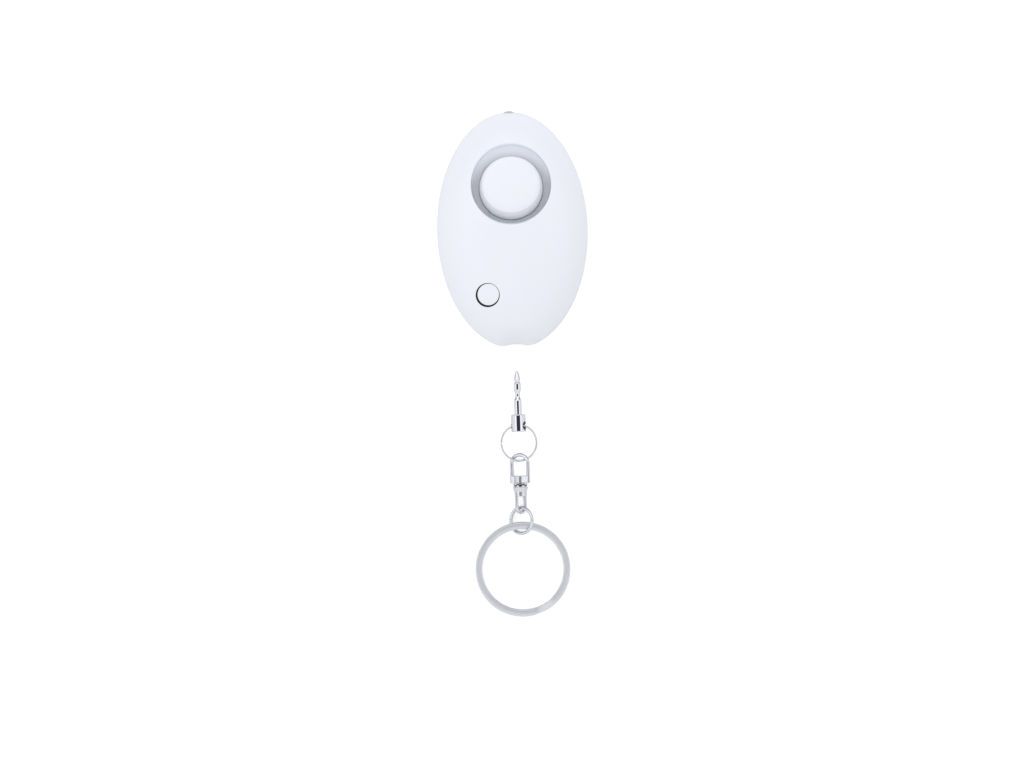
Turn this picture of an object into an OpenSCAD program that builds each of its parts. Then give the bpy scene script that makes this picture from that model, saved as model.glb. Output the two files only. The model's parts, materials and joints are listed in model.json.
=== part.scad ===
// Personal safety alarm lying on its back, with the pull pin drawn out on its key-ring chain.
// Origin at the centre of the flat back. X runs across the case, Y along it towards the lamp,
// Z out of the front. The pin, the chain and the key ring lie towards -Y.

/* [Case] */
// Width of the case
case_w = 39.8; // [38:0.2:46]
// Length of the case before its pin end is cut flat
case_l = 62.4; // [61:0.2:70]
// Thickness of the case, from the back to the top of the dome
case_t = 16.5; // [16.5:0.1:20]
// Wall thickness of the front shell
wall = 1.6; // [1.2:0.1:1.8]
// Thickness of the back
back_t = 1.6; // [1.4:0.1:1.8]
// Height of the seam, and of the pin socket in it, above the back
seam_z = 2.5; // [2.4:0.05:3]
// Fullness of the dome: 2 is an ellipsoid, more is squarer
dome_fullness = 2.4; // [2.2:0.1:3]
// Width of the rounding around the back
back_round = 2.2; // [1:0.1:3]
// How much of the pin end is cut flat
end_flat = 0.74; // [0.4:0.02:1]
// Width of the shallow notch in the flat pin end
notch_w = 5.5; // [4:0.1:7]
// Depth of the notch
notch_depth = 0.42; // [0.2:0.02:0.6]
// Height of the rear shell's lip above the seam
lip_h = 1; // [0.6:0.1:1.4]
// Thickness of the lip
lip_t = 0.8; // [0.6:0.1:1]

/* [Siren] */
// Distance of the siren from the middle of the case
siren_y = 11.8; // [11.6:0.1:12.4]
// Diameter of the round recess
recess_d = 21; // [20:0.1:22]
// Diameter of the disc in the recess
disc_d = 16.7; // [15:0.1:17.4]
// Width of the groove on the side towards the pin, where it is narrowest
groove_low_w = 1.2; // [0.9:0.05:1.8]
// Depth of the groove's floor below the top of the dome
groove_down = 4.6; // [4:0.1:5]
// Rounding of the disc's edge
disc_round = 1.6; // [0.8:0.1:2]
// How far the disc lies below the dome
disc_sink = 0.35; // [0.1:0.05:0.6]
// Width of the sound slit around the disc
slit_w = 0.35; // [0.2:0.05:0.6]
// Thickness of the recess's wall and floor
cup_t = 1.2; // [1:0.1:1.4]
// Thickness of the disc's three arms
arm_t = 1; // [0.8:0.1:1.2]
// Width of each arm
arm_w = 3; // [2:0.1:4]
// Wall thickness of the resonator
resonator_t = 1.2; // [1:0.1:1.4]
// Height of the space behind the piezo plate
back_space = 0.9; // [0.7:0.1:1.2]
// Height of the space between the piezo plate and the disc
front_space = 1.1; // [0.8:0.1:1.4]
// Width of the ledge that the piezo plate lies on
ledge_w = 1; // [0.6:0.1:1.4]
// Thickness of the piezo plate
plate_t = 0.3; // [0.2:0.05:0.4]
// Diameter of the piezo ceramic
ceramic_d = 11; // [10.8:0.1:12]
// Thickness of the piezo ceramic
ceramic_t = 0.25; // [0.15:0.05:0.4]

/* [Light button] */
// Button's place across the case
button_x = -7; // [-7.4:0.1:-6.6]
// Button's place along the case
button_y = -17; // [-17.5:0.1:-16.9]
// Diameter of the button
button_d = 5.86; // [5:0.02:6.2]
// Clearance around the button
button_gap = 0.22; // [0.15:0.01:0.3]
// How far the button sits off the middle of its hole
button_play = 0.14; // [0:0.01:0.14]
// How far the button travels
button_travel = 0.5; // [0.3:0.05:0.7]
// Side of the tact switch
switch_w = 4.5; // [4:0.1:4.6]
// Height of the tact switch body
switch_h = 2; // [1.6:0.1:2.4]

/* [Lamp] */
// Diameter of the lamp
lamp_d = 3; // [2.8:0.1:3.2]
// Length of the lamp without its leads
lamp_l = 5.3; // [5:0.1:6]
// How far the lamp's tip stands out of the case
lamp_out = 0.45; // [0.2:0.05:0.8]
// Height of the lamp above the seam
lamp_rise = 1.9; // [1.8:0.1:2.4]

/* [Batteries] */
// Diameter of a button cell
cell_d = 11.6; // [11:0.1:11.8]
// Height of a button cell
cell_h = 5.4; // [5:0.1:5.4]
// Number of cells
cell_count = 3; // [2:1:3]
// Place of the cells along the case
cell_y = -7.4; // [-7.6:0.1:-7.3]
// Thickness of a contact plate
contact_t = 0.4; // [0.3:0.05:0.5]
// Thickness of the battery door's outer plate
door_t = 0.8; // [0.6:0.1:0.9]
// Width of the ledge around the battery door
door_ledge = 0.7; // [0.5:0.1:0.8]
// Diameter of the battery door's screw tab
door_tab_d = 5.2; // [4.8:0.1:5.4]

/* [Circuit board] */
// Thickness of the board
board_t = 1; // [0.8:0.1:1.1]
// Height of the board's underside above the seam
board_rise = 2.3; // [2.2:0.1:2.5]
// Diameter of the step-up coil
coil_d = 5.8; // [5:0.1:6]
// Height of the step-up coil
coil_h = 5; // [4:0.1:5.2]

/* [Screws] */
// Diameter of a case screw's thread
screw_d = 1.7; // [1.4:0.1:2]
// Length of a case screw under its head
screw_l = 6; // [5:0.5:7]
// Diameter of a screw head
head_d = 3.2; // [2.8:0.1:3.4]
// Height of a screw head
head_h = 0.8; // [0.6:0.1:0.9]
// Diameter of a screw boss
boss_d = 4; // [3.8:0.1:4.2]

/* [Pull pin] */
// Length of the pin outside its ferrule
pin_l = 11.6; // [11:0.1:12]
// Diameter of the pin's head, behind the point
pin_head_d = 1.56; // [1.3:0.02:1.7]
// Diameter of the pin's front bulge
pin_bulge_d = 1.9; // [1.7:0.02:2]
// Diameter of the waist between the bulges
pin_waist_d = 1.3; // [1.1:0.02:1.5]
// Diameter of the pin's rear bulge, the widest part
pin_collar_d = 2; // [1.9:0.02:2.1]
// Diameter of the pin where it enters the ferrule
pin_shank_d = 1.76; // [1.5:0.02:1.86]
// How far the pin is drawn out
pin_out = 18.3; // [16:0.1:24]
// Diameter of the ferrule
ferrule_d = 3.84; // [3.6:0.02:4.2]
// Length of the ferrule
ferrule_l = 4.6; // [4.4:0.1:5.4]
// Wall thickness of the socket bush
bush_t = 0.4; // [0.3:0.05:0.45]
// Length of the socket bush
bush_l = 5; // [4:0.1:5.2]

/* [Chain] */
// Outer diameter of the thin link ring
ring_d = 10; // [9:0.1:11]
// Wire diameter of the thin link ring
ring_wire = 0.58; // [0.5:0.02:0.7]
// Outer width of the swivel's shackle
shackle_w = 5.7; // [5.4:0.1:6]
// Length of the shackle
shackle_l = 8; // [7.6:0.1:9]
// Wire diameter of the shackle
shackle_wire = 1; // [0.8:0.02:1.1]
// Height of the shackle's cross piece
bridge_h = 1.95; // [1.6:0.05:2.2]
// Diameter of the swivel post
post_d = 1.1; // [1:0.02:1.3]
// Length of the swivel's lower loop
loop_l = 7.5; // [7:0.1:8.5]
// Outer width of the lower loop
loop_w = 3.8; // [3.6:0.05:4]
// Wire diameter of the lower loop
loop_wire = 0.9; // [0.8:0.02:0.96]
// Outer diameter of the jump ring
jump_d = 7.7; // [7.4:0.05:9]
// Wire diameter of the jump ring
jump_wire = 0.9; // [0.8:0.02:0.96]
// Outer diameter of the key ring
key_d = 25; // [22:0.5:32]
// Width of the key ring's band
key_band = 1.8; // [1.4:0.1:2]
// Thickness of one turn of the key ring
key_turn_t = 0.7; // [0.5:0.05:0.75]

/* [Hidden] */
$fn = 64;
notch_fn = 128;

// Clearances
snug = 0.01;
fit = 0.05;
free = 0.15;
over = 1;
far = 60;

// Case
half_w = case_w / 2;
half_l = case_l / 2;
dome_rise = case_t - seam_z;
dome_sides = 72;
inner_sides = 56;
dome_rings = 12;
inner_rings = 9;
dome_top_angle = 88;
back_rings = 5;
seat_y = -(half_l - end_flat - notch_depth);
notch_r = (notch_w * notch_w / 4 + notch_depth * notch_depth) / (2 * notch_depth);
lip_gap = 0.12;

// Siren: it keeps its share of the case's length, and siren_y is given for the drawn length
drawn_l = 62.4;
siren_mid_y = siren_y * case_l / drawn_l;
recess_r = recess_d / 2;
disc_r = disc_d / 2;
disc_y = siren_mid_y - (recess_r - disc_r - groove_low_w);
cup_r = recess_r + cup_t;
groove_z = case_t - groove_down;
cup_z = groove_z - cup_t;
arm_z = cup_z - arm_t;
arm_r = recess_r - 0.3;
arm_root_r = disc_r / 2;
arm_count = 3;
plate_r = arm_r - free;
plate_z = arm_z - front_space - plate_t;
ledge_t = ceramic_t + 0.05;
resonator_floor_t = 0.8;
resonator_z = plate_z - ledge_t - back_space - resonator_floor_t;
resonator_r = arm_r + free + resonator_t;
resonator_taper = 0.7;
taper_z = cup_z - 2;
siren_post_r = 1.2;
siren_post_out = 8.5;
siren_post_angles = [30, 150, 270];
lead_hole_at = [-4.2, -4];
lead_hole_r = 1.9;
disc_sides = 48;
disc_edge_angles = [0, 30, 60, 90];
disc_crown_shares = [0.66, 0.33, 0.06];

// Board, switch and button
board_z = seam_z + board_rise;
board_top = board_z + board_t;
board_edge = 1;
cell_r = cell_d / 2;
cell_gap = fit;
cell_z = back_t + free + cell_r;
board_y = cell_y - cell_r - 1.1;
board_post_r = 1.2;
part_gap = 0.4;
chip_x = -0.6;
chip_r = 2.2;
chip_h = 1.2;
chip_at = [chip_x, board_y - part_gap - chip_r];
coil_at = [chip_x + chip_r + part_gap + coil_d / 2, board_y - part_gap - coil_d / 2];
coil_flange_h = 0.8;
coil_neck_r = coil_d / 2 - 0.7;
transistor_size = [4.6, 2.6, 1.5];
transistor_at = [chip_x, chip_at[1] - chip_r - part_gap - transistor_size[1] / 2];
component_size = [1.2, 2, 0.55];
component_count = 4;
component_pitch = component_size[0] + part_gap;
component_y = transistor_at[1] - transistor_size[1] / 2 - part_gap - component_size[1] / 2;
button_r = button_d / 2;
button_hole_r = button_r + button_gap;
button_at = [button_x, button_y] + button_play * [1, 1] / sqrt(2);
plunger_r = 1.2;
plunger_out = 1.9;
plunger_in = 1;
plunger_gap = 0.2;
plunger_top = board_top + switch_h + plunger_out;
plunger_foot = board_top + switch_h - plunger_in;
flange_t = 0.7;
flange_over = 0.45;
guide_t = 1;
guide_z = plunger_top + flange_t + 0.1;
button_sink = 0.1;

// Lamp
lamp_r = lamp_d / 2;
lamp_z = seam_z + lamp_rise;
lamp_tip_y = half_l + lamp_out;
lamp_flange_t = 1;
lamp_flange_r = lamp_r + 0.4;
lamp_front_y = lamp_tip_y - lamp_l + lamp_flange_t;
lamp_boss_r = lamp_r + 1;

// Batteries
stack_l = cell_count * cell_h + (cell_count - 1) * cell_gap;
contact_gap = 1.5;
bay_x = stack_l / 2 + contact_gap;
bay_wall = 1.2;
contact_w = 9;
contact_h = 7;
tail_h = 1.6;
tail_y = board_y - 1.7;
dimple_r = 2.2;
bow_r = 2.4;
bow_w = 4;
cell_cap_h = 0.3;
cell_cap_r = cell_r - 1;
saddle_t = 1;
saddle_x = stack_l * 0.3;
door_open = [stack_l + 1.1, cell_d + 0.6];
door_corner = 1.5;
door_tab_r = door_tab_d / 2;
door_tab_at = [door_open[0] / 2 + door_tab_r + 0.1, cell_y];
door_head_h = 0.4;
tongue_t = 0.7;
tongue_w = 2;
tongue_out = 1.2;
tongue_in = 1.4;
tongue_spread = 4;

// Screws
screw_r = screw_d / 2;
head_r = head_d / 2;
boss_r = boss_d / 2;
boss_z = seam_z + 0.4;
door_boss_z = boss_z - 0.1;
door_boss_r = boss_r - 0.2;
collar_over = 0.5;
slot_w = 0.5;
slot_share = 0.6;
upper_screw_gap = 1.6;
upper_screw_y = cell_y + cell_r + upper_screw_gap + boss_r;
flange_reach = button_r + flange_over + button_play;
lower_screw_y = button_y - flange_reach - free - boss_r - collar_over;
head_sink = 0.2;

// Pull pin and socket
pin_z = seam_z;
shank_in = 1.2;
stop_y = seat_y - notch_r + sqrt(notch_r * notch_r - ferrule_d * ferrule_d / 4);
ferrule_y = stop_y - pin_out - fit;
tip_y = ferrule_y + pin_l;
tip_home_y = stop_y + pin_l;
tip_room = 0.6;
bush_bore_r = pin_collar_d / 2 + 2 * fit;
bush_r = bush_bore_r + bush_t;
bush_y = seat_y + 0.2;
block_w = 2 * bush_r + 3.4;
leaf_t = 0.25;
leaf_z = pin_z - 0.7;
bulge_down = 4.25;
nose_y = tip_home_y - bulge_down;
nose_x = pin_bulge_d / 2 + fit;
leaf_x = pin_collar_d / 2 + 0.6;
leaf_root_y = tip_home_y + 1;
leaf_foot = 2;
finger_z = pin_z + pin_collar_d / 2 + 0.3;
finger_top = board_z - 0.2;
finger_y = nose_y - 1;
finger_w = 0.6;
contact_space = 0.3;
fixed_side = 0.9;
pin_point_r = 0.25;
pin_neck_in = 0.14;
pin_steps = 4;
pin_stations = [
    [0, pin_point_r], [1.2, pin_head_d / 2], [2.5, pin_head_d / 2], [2.8, pin_head_d / 2 - pin_neck_in],
    [3.5, pin_bulge_d / 2], [5, pin_bulge_d / 2],
    [6, pin_waist_d / 2], [7, pin_waist_d / 2],
    [8, pin_collar_d / 2], [9.9, pin_collar_d / 2],
    [10.4, pin_shank_d / 2], [pin_l + shank_in, pin_shank_d / 2]
];
ferrule_chamfer = 0.15;

// Chain, from the ferrule outwards
ring_roll = -10;
ring_r = (ring_d - ring_wire) / 2;
ring_sag = ring_r - sqrt(ring_r * ring_r - ferrule_d * ferrule_d / 4);
ring_hole_r = ring_wire / 2 + ring_sag / 2 + 2 * fit;
ring_hole_down = 3;
ring_mouth = 0.7;
hole_y = ferrule_y - ring_hole_down;
loop_head_r = loop_w / 2 + 0.05;
jump_roll = 35;
jump_r = (jump_d - jump_wire) / 2;
jump_z = jump_r * sin(jump_roll) + jump_wire / 2 + 0.02;
swivel_z = loop_head_r + 0.3;
ring_reach = 2 * ring_r - ring_sag / 2;
ring_slope = asin((pin_z - swivel_z) / ring_reach);
ring_low_y = hole_y - ring_reach * cos(ring_slope);
link_slack = 0.8;
shackle_roll = 24;
shackle_r = (shackle_w - shackle_wire) / 2;
arch_y = ring_low_y + (ring_wire + shackle_wire) / 2 + link_slack - shackle_r;
bridge_y = arch_y + shackle_r + shackle_wire / 2 - shackle_l;
bridge_boss_r = 1.45;
post_r = post_d / 2;
post_head_r = 1.05;
post_head_h = 0.6;
post_head_y = bridge_y + bridge_h - post_head_h;
post_play = 0.06;
post_in = 1.5;
swivel_gap = 0.6;
loop_roll = -40;
loop_top = bridge_y - swivel_gap;
loop_head_l = 2.9;
loop_head_taper = 0.35;
loop_r = (loop_w - loop_wire) / 2;
eye_y = loop_top - loop_l + loop_wire / 2 + loop_r;
jump_slack = 0.3;
jump_y = eye_y - loop_r + (loop_wire + jump_wire) / 2 + jump_slack - jump_r;
key_gap = 0.08;
key_t = 2 * key_turn_t + key_gap;
key_r = key_d / 2;
key_hole_r = key_r - key_band;
key_mid_r = key_r - key_band / 2;
key_tilt = asin((jump_z - key_t / 2 - 0.02) / (key_mid_r + key_r));
key_slack = 0.42;
jump_inner_r = jump_r - jump_wire / 2;
key_bite = sqrt(pow(jump_inner_r, 2) - pow(key_t / 2 / sin(jump_roll), 2)) - key_slack;
key_y = jump_y - key_bite - key_hole_r * cos(key_tilt);
key_z = jump_z - key_mid_r * sin(key_tilt);
key_step = 30;
key_step_at = 300;
key_step_rings = 7;
key_turn_rings = 66;
key_rise = key_turn_t + key_gap;
ring_split = 0.12;

// Leads: routes chosen by hand, from the lamp and the piezo plate to the board
lead_d = 0.8;
lead_sides = 8;
lamp_lead_spread = 0.65;
lead_drop = 1.5;
lamp_lead_routes = [
    [[1.6, 22, 4.4], [5, 12, 4.4], [9.8, 4, 4.4], [12.9, -2, 4.6], [13.3, -8, 5.2]],
    [[0.2, 22, 4.4], [3.6, 12, 4.4], [8.4, 4, 4.4], [11.7, -2, 4.6], [12.1, -8, 5.2]]
];
siren_lead_routes = [
    [
        [-4.9, siren_mid_y - 4.4, 6], [-5.6, siren_mid_y - 5.4, 4.8],
        [-9, 3.4, 4.5], [-12.9, -2, 4.7], [-13.3, -8, 5.2]
    ],
    [
        [-3.5, siren_mid_y - 3.6, 6], [-4.3, siren_mid_y - 5.2, 4.8],
        [-7.8, 2.6, 4.5], [-11.7, -2, 4.7], [-12.1, -8, 5.2]
    ]
];
siren_lead_roots = [plate_z, plate_z - ceramic_t];
lead_over = 0.7;
lead_pads = [[12.3, -16.4], [11.2, -16.4]];

// Shape functions
function ellipse(a, b, sides) = [
    for (i = [0 : sides - 1]) let (t = 360 * i / sides) [a * cos(t), b * sin(t)]
];
function raised(points, z) = [for (p = points) [p[0], p[1], z]];
function dome_scale(angle) = pow(cos(angle), 2 / dome_fullness);
function dome_height(angle) = pow(sin(angle), 2 / dome_fullness);
function dome_z(x, y) = seam_z + dome_rise
    * pow(1 - pow(norm([x / half_w, y / half_l]), dome_fullness), 1 / dome_fullness);
function inner_half_w(y) = (half_w - wall) * sqrt(1 - pow(y / (half_l - wall), 2));
function along(points, i) = let (last = len(points) - 1)
    points[min(i + 1, last)] - points[max(i - 1, 0)];
function unit(v) = v / norm(v);
function tube_ring(centre, v, r, sides) = let (b = unit(cross(v, [1, 0, 0])), a = unit(cross(b, v)))
    [for (i = [0 : sides - 1]) centre + r * (a * cos(360 * i / sides) + b * sin(360 * i / sides))];

// Screw places: two in the widest part of the case and two beside the board's small parts
side_gap = 0.5;
upper_screw_x = inner_half_w(upper_screw_y) - boss_r - side_gap;
lower_screw_x = inner_half_w(lower_screw_y) - boss_r - side_gap;
lower_screw_places = [for (side = [-1, 1]) [side * lower_screw_x, lower_screw_y]];
screw_places = concat([for (side = [-1, 1]) [side * upper_screw_x, upper_screw_y]], lower_screw_places);

// Board posts: two beside the lower screws and two near the board's straight edge
post_edge_gap = 3;
post_edge_y = board_y - 1.5;
post_screw_y = lower_screw_y + boss_r + free + board_post_r;
board_posts = [
    for (side = [-1, 1]) each [
        [side * lower_screw_x, post_screw_y],
        [side * (inner_half_w(post_edge_y) - post_edge_gap), post_edge_y]
    ]
];

// A closed skin over rings that all have the same number of points, from the first ring to the last
module skin(rings) {
    sides = len(rings[0]);
    last = len(rings) - 1;
    corners = [for (ring = rings) for (p = ring) p];
    flanks = [
        for (k = [0 : last - 1]) for (i = [0 : sides - 1]) let (j = (i + 1) % sides)
            for (face = [
                [k * sides + i, (k + 1) * sides + j, k * sides + j],
                [k * sides + i, (k + 1) * sides + i, (k + 1) * sides + j]
            ]) face
    ];
    first_cap = [for (i = [0 : sides - 1]) i];
    last_cap = [for (i = [sides - 1 : -1 : 0]) last * sides + i];
    polyhedron(points = corners, faces = concat(flanks, [first_cap], [last_cap]), convexity = 6);
}

module rod_y(y0, y1, r) {
    translate([0, y0, 0])
        rotate([-90, 0, 0])
            cylinder(h = y1 - y0, r = r);
}

module rod_x(x0, x1, r) {
    translate([x0, 0, 0])
        rotate([0, 90, 0])
            cylinder(h = x1 - x0, r = r);
}

module box(x, y, z) {
    translate([x[0], y[0], z[0]])
        cube([x[1] - x[0], y[1] - y[0], z[1] - z[0]]);
}

module torus(r, wire) {
    rotate_extrude()
        translate([r, 0])
            circle(d = wire);
}

module half_torus(r, wire) {
    rotate_extrude(angle = 180)
        translate([r, 0])
            circle(d = wire);
}

// The case form above the seam, drawn in by inset, with a straight skirt below the seam
module dome_solid(inset, sides, rings, skirt) {
    a = half_w - inset;
    b = half_l - inset;
    angles = [for (k = [0 : rings - 1]) dome_top_angle * k / (rings - 1)];
    skirt_ring = skirt > 0 ? [raised(ellipse(a, b, sides), seam_z - skirt)] : [];
    skin(concat(skirt_ring, [
        for (t = angles) raised(
            ellipse(a * dome_scale(t), b * dome_scale(t), sides),
            seam_z + (dome_rise - inset) * dome_height(t)
        )
    ]));
}

// What the flat pin end and its notch cut away
module pin_end_cut() {
    box([-far, far], [-far - half_l, -half_l + end_flat], [-over, case_t + over]);
    translate([0, seat_y - notch_r, -over])
        cylinder(h = case_t + 2 * over, r = notch_r, $fn = notch_fn);
}

module socket_channel() {
    translate([0, 0, pin_z])
        rod_y(seat_y - over, tip_home_y + tip_room, bush_r + fit);
}

module at_screws() {
    for (p = screw_places)
        translate(p)
            children();
}

module siren_cup() {
    translate([0, siren_mid_y, cup_z])
        cylinder(h = case_t, r = cup_r);
}

module button_guide() {
    translate([button_x, button_y, guide_z])
        cylinder(h = case_t, r = button_hole_r + guide_t);
}

module bay_walls() {
    for (side = [-1, 1])
        translate([side * (bay_x + bay_wall / 2), cell_y, 0])
            box([-bay_wall / 2, bay_wall / 2], [-contact_w / 2, contact_w / 2], [boss_z, case_t]);
}

module cell_saddles() {
    for (side = [-1, 1])
        translate([side * saddle_x, cell_y, cell_z])
            difference() {
                box([-saddle_t / 2, saddle_t / 2], [-cell_r, cell_r], [cell_r / 2, case_t]);
                rod_x(-over, over, cell_r + free);
            }
}

module screw_bosses() {
    for (p = screw_places)
        translate([p[0], p[1], boss_z])
            cylinder(h = case_t, r = boss_r);
    for (p = lower_screw_places)
        translate([p[0], p[1], board_top + fit])
            cylinder(h = case_t, r = boss_r + collar_over);
}

module lamp_boss() {
    translate([0, 0, lamp_z])
        rod_y(lamp_front_y + fit, half_l, lamp_boss_r);
}

module socket_block() {
    box([-block_w / 2, block_w / 2], [-half_l, bush_y + bush_l], [seam_z, board_z - free]);
}

module front_shell() {
    color("ghostwhite")
        difference() {
            union() {
                difference() {
                    dome_solid(0, dome_sides, dome_rings, 0);
                    dome_solid(wall, inner_sides, inner_rings, over);
                }
                intersection() {
                    dome_solid(wall / 2, inner_sides, inner_rings, 0);
                    union() {
                        siren_cup();
                        button_guide();
                        bay_walls();
                        cell_saddles();
                        screw_bosses();
                        lamp_boss();
                        socket_block();
                    }
                }
            }
            translate([0, siren_mid_y, groove_z])
                cylinder(h = case_t, r = recess_r);
            translate([0, disc_y, cup_z - over])
                cylinder(h = case_t, r = disc_r + slit_w);
            translate([button_x, button_y, guide_z - over])
                cylinder(h = case_t, r = button_hole_r);
            translate([0, 0, lamp_z])
                rod_y(lamp_front_y - over, lamp_tip_y + over, lamp_r + fit);
            at_screws()
                translate([0, 0, boss_z - over])
                    cylinder(h = screw_l + over, r = screw_r + fit);
            pin_end_cut();
            socket_channel();
        }
}

module back_form() {
    angles = [for (k = [back_rings : -1 : 0]) 90 * k / back_rings];
    difference() {
        skin(concat(
            [raised(ellipse(half_w - back_round, half_l - back_round, dome_sides), -over)],
            [
                for (t = angles) let (inset = back_round * (1 - cos(t))) raised(
                    ellipse(half_w - inset, half_l - inset, dome_sides),
                    seam_z * (1 - sin(t))
                )
            ]
        ));
        box([-far, far], [-far, far], [-far, 0]);
    }
}

module seam_lip() {
    outer = wall + lip_gap;
    inner = outer + lip_t;
    difference() {
        translate([0, 0, back_t])
            linear_extrude(seam_z + lip_h - back_t)
                difference() {
                    polygon(ellipse(half_w - outer, half_l - outer, dome_sides));
                    polygon(ellipse(half_w - inner, half_l - inner, dome_sides));
                }
        box([-block_w / 2 - over, block_w / 2 + over], [-half_l, 0], [seam_z, case_t]);
        box([-lamp_boss_r - over, lamp_boss_r + over], [0, half_l], [seam_z, case_t]);
        at_screws()
            translate([0, 0, seam_z])
                cylinder(h = case_t, r = boss_r + collar_over + free);
    }
}

// A rounded rectangle as large as the battery opening, let out by grow
module door_rectangle(grow) {
    x = door_open[0] / 2 + grow;
    y = door_open[1] / 2 + grow;
    translate([0, cell_y]) {
        square([2 * x, 2 * (y - door_corner)], center = true);
        square([2 * (x - door_corner), 2 * y], center = true);
        for (sx = [-1, 1])
            for (sy = [-1, 1])
                translate([sx * (x - door_corner), sy * (y - door_corner)])
                    circle(r = door_corner);
    }
}

// The door's outer plate with its screw tab, drawn in by gap
module door_plate(gap) {
    door_rectangle(door_ledge - gap);
    translate(door_tab_at)
        circle(r = door_tab_r - gap);
}

module rear_shell() {
    color("ghostwhite")
        difference() {
            union() {
                difference() {
                    back_form();
                    translate([0, 0, back_t])
                        linear_extrude(case_t)
                            polygon(ellipse(half_w - wall, half_l - wall, dome_sides));
                }
                seam_lip();
                at_screws()
                    translate([0, 0, back_t - fit])
                        cylinder(h = boss_z - back_t, r = boss_r);
                for (p = board_posts)
                    translate([p[0], p[1], back_t - fit])
                        cylinder(h = board_z - back_t, r = board_post_r);
                translate([0, siren_mid_y])
                    for (a = siren_post_angles)
                        rotate(a)
                            translate([siren_post_out, 0, back_t - fit])
                                cylinder(h = resonator_z - back_t, r = siren_post_r);
                translate([door_tab_at[0], door_tab_at[1], back_t - fit])
                    cylinder(h = door_boss_z - back_t + fit, r = door_boss_r);
            }
            translate([0, 0, -over])
                linear_extrude(door_t + over)
                    door_plate(0);
            translate([0, 0, -over])
                linear_extrude(back_t + 2 * over)
                    door_rectangle(0);
            translate([door_tab_at[0], door_tab_at[1], -over])
                cylinder(h = case_t, r = screw_r + fit);
            at_screws()
                translate([0, 0, -over]) {
                    cylinder(h = boss_z + 2 * over, r = screw_r + free);
                    cylinder(h = over + head_sink + head_h, r = head_r + free);
                }
            pin_end_cut();
            socket_channel();
        }
}

// The door's plate and plug, with two tongues that hook over the inside of the back
module battery_door() {
    edge_x = -door_open[0] / 2;
    plug_top = back_t - fit;
    tongue_y = [-tongue_w / 2, tongue_w / 2];
    tongue_z = [back_t + fit, back_t + fit + tongue_t];
    color("ghostwhite")
        difference() {
            union() {
                translate([0, 0, fit])
                    linear_extrude(door_t - fit)
                        door_plate(free);
                translate([0, 0, fit])
                    linear_extrude(plug_top - fit)
                        door_rectangle(-free);
                for (side = [-1, 1])
                    translate([edge_x, cell_y + side * tongue_spread, 0]) {
                        box([free, tongue_in], tongue_y, [door_t, tongue_z[1]]);
                        box([-tongue_out, tongue_in], tongue_y, tongue_z);
                    }
            }
            translate([door_tab_at[0], door_tab_at[1], -over]) {
                cylinder(h = back_t + over, r = screw_r + free);
                cylinder(h = over + fit + door_head_h, r = head_r + free);
            }
        }
}

// A screw with its head at the bottom and a cross slot in it
module screw(head_t, thread_l) {
    slot_half = head_r * slot_share;
    difference() {
        union() {
            cylinder(h = head_t, r = head_r);
            cylinder(h = head_t + thread_l, r = screw_r);
        }
        for (a = [0, 90])
            rotate(a)
                box([-slot_w / 2, slot_w / 2], [-slot_half, slot_half], [-over, head_t / 2]);
    }
}

module case_screws() {
    color("silver")
        at_screws()
            translate([0, 0, head_sink])
                screw(head_h, screw_l);
}

module door_screw() {
    color("silver")
        translate([door_tab_at[0], door_tab_at[1], fit])
            screw(door_head_h, door_boss_z - door_head_h - fit);
}

module siren_disc() {
    edge = [for (t = disc_edge_angles) [disc_r - disc_round * (1 - cos(t)), disc_round * (1 - sin(t))]];
    crown = [for (share = disc_crown_shares) [(disc_r - disc_round) * share, 0]];
    rim = ellipse(1, 1, disc_sides);
    color("ghostwhite") {
        translate([0, disc_y, 0])
            skin(concat(
                [raised(rim * disc_r, arm_z)],
                [
                    for (step = concat(edge, crown)) [
                        for (p = rim * step[0]) [
                            p[0], p[1], dome_z(p[0], p[1] + disc_y) - disc_sink - step[1]
                        ]
                    ]
                ]
            ));
        translate([0, siren_mid_y, 0])
            for (i = [0 : arm_count - 1])
                rotate(360 * i / arm_count + 90)
                    intersection() {
                        box([arm_root_r, arm_r + over], [-arm_w / 2, arm_w / 2], [arm_z, cup_z]);
                        cylinder(h = case_t, r = arm_r);
                    }
    }
}

module resonator() {
    color("gainsboro")
        translate([0, siren_mid_y, 0])
            difference() {
                union() {
                    translate([0, 0, resonator_z])
                        cylinder(h = taper_z - resonator_z, r = resonator_r);
                    translate([0, 0, taper_z])
                        cylinder(h = cup_z - taper_z, r1 = resonator_r, r2 = resonator_r - resonator_taper);
                }
                translate([0, 0, plate_z])
                    cylinder(h = case_t, r = resonator_r - resonator_t);
                translate([0, 0, resonator_z + resonator_floor_t])
                    cylinder(h = case_t, r = plate_r - ledge_w);
                translate([lead_hole_at[0], lead_hole_at[1], resonator_z - over])
                    cylinder(h = 2 * over + resonator_floor_t, r = lead_hole_r);
            }
}

module piezo_plate() {
    color("goldenrod")
        translate([0, siren_mid_y, plate_z])
            cylinder(h = plate_t, r = plate_r);
}

module piezo_ceramic() {
    color("whitesmoke")
        translate([0, siren_mid_y, plate_z - ceramic_t])
            cylinder(h = ceramic_t, d = ceramic_d);
}

module circuit_board() {
    inset = wall + board_edge;
    color("darkgreen")
        translate([0, 0, board_z])
            linear_extrude(board_t)
                difference() {
                    intersection() {
                        polygon(ellipse(half_w - inset, half_l - inset, dome_sides));
                        translate([-far, board_y - far])
                            square([2 * far, far]);
                    }
                    for (p = lower_screw_places)
                        translate(p)
                            circle(r = boss_r + free);
                }
}

module control_chip() {
    color("black")
        translate([chip_at[0], chip_at[1], board_top])
            intersection() {
                cylinder(h = chip_h, r = chip_r);
                translate([0, 0, chip_h - 2 * chip_r])
                    sphere(r = 2 * chip_r);
            }
}

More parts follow.
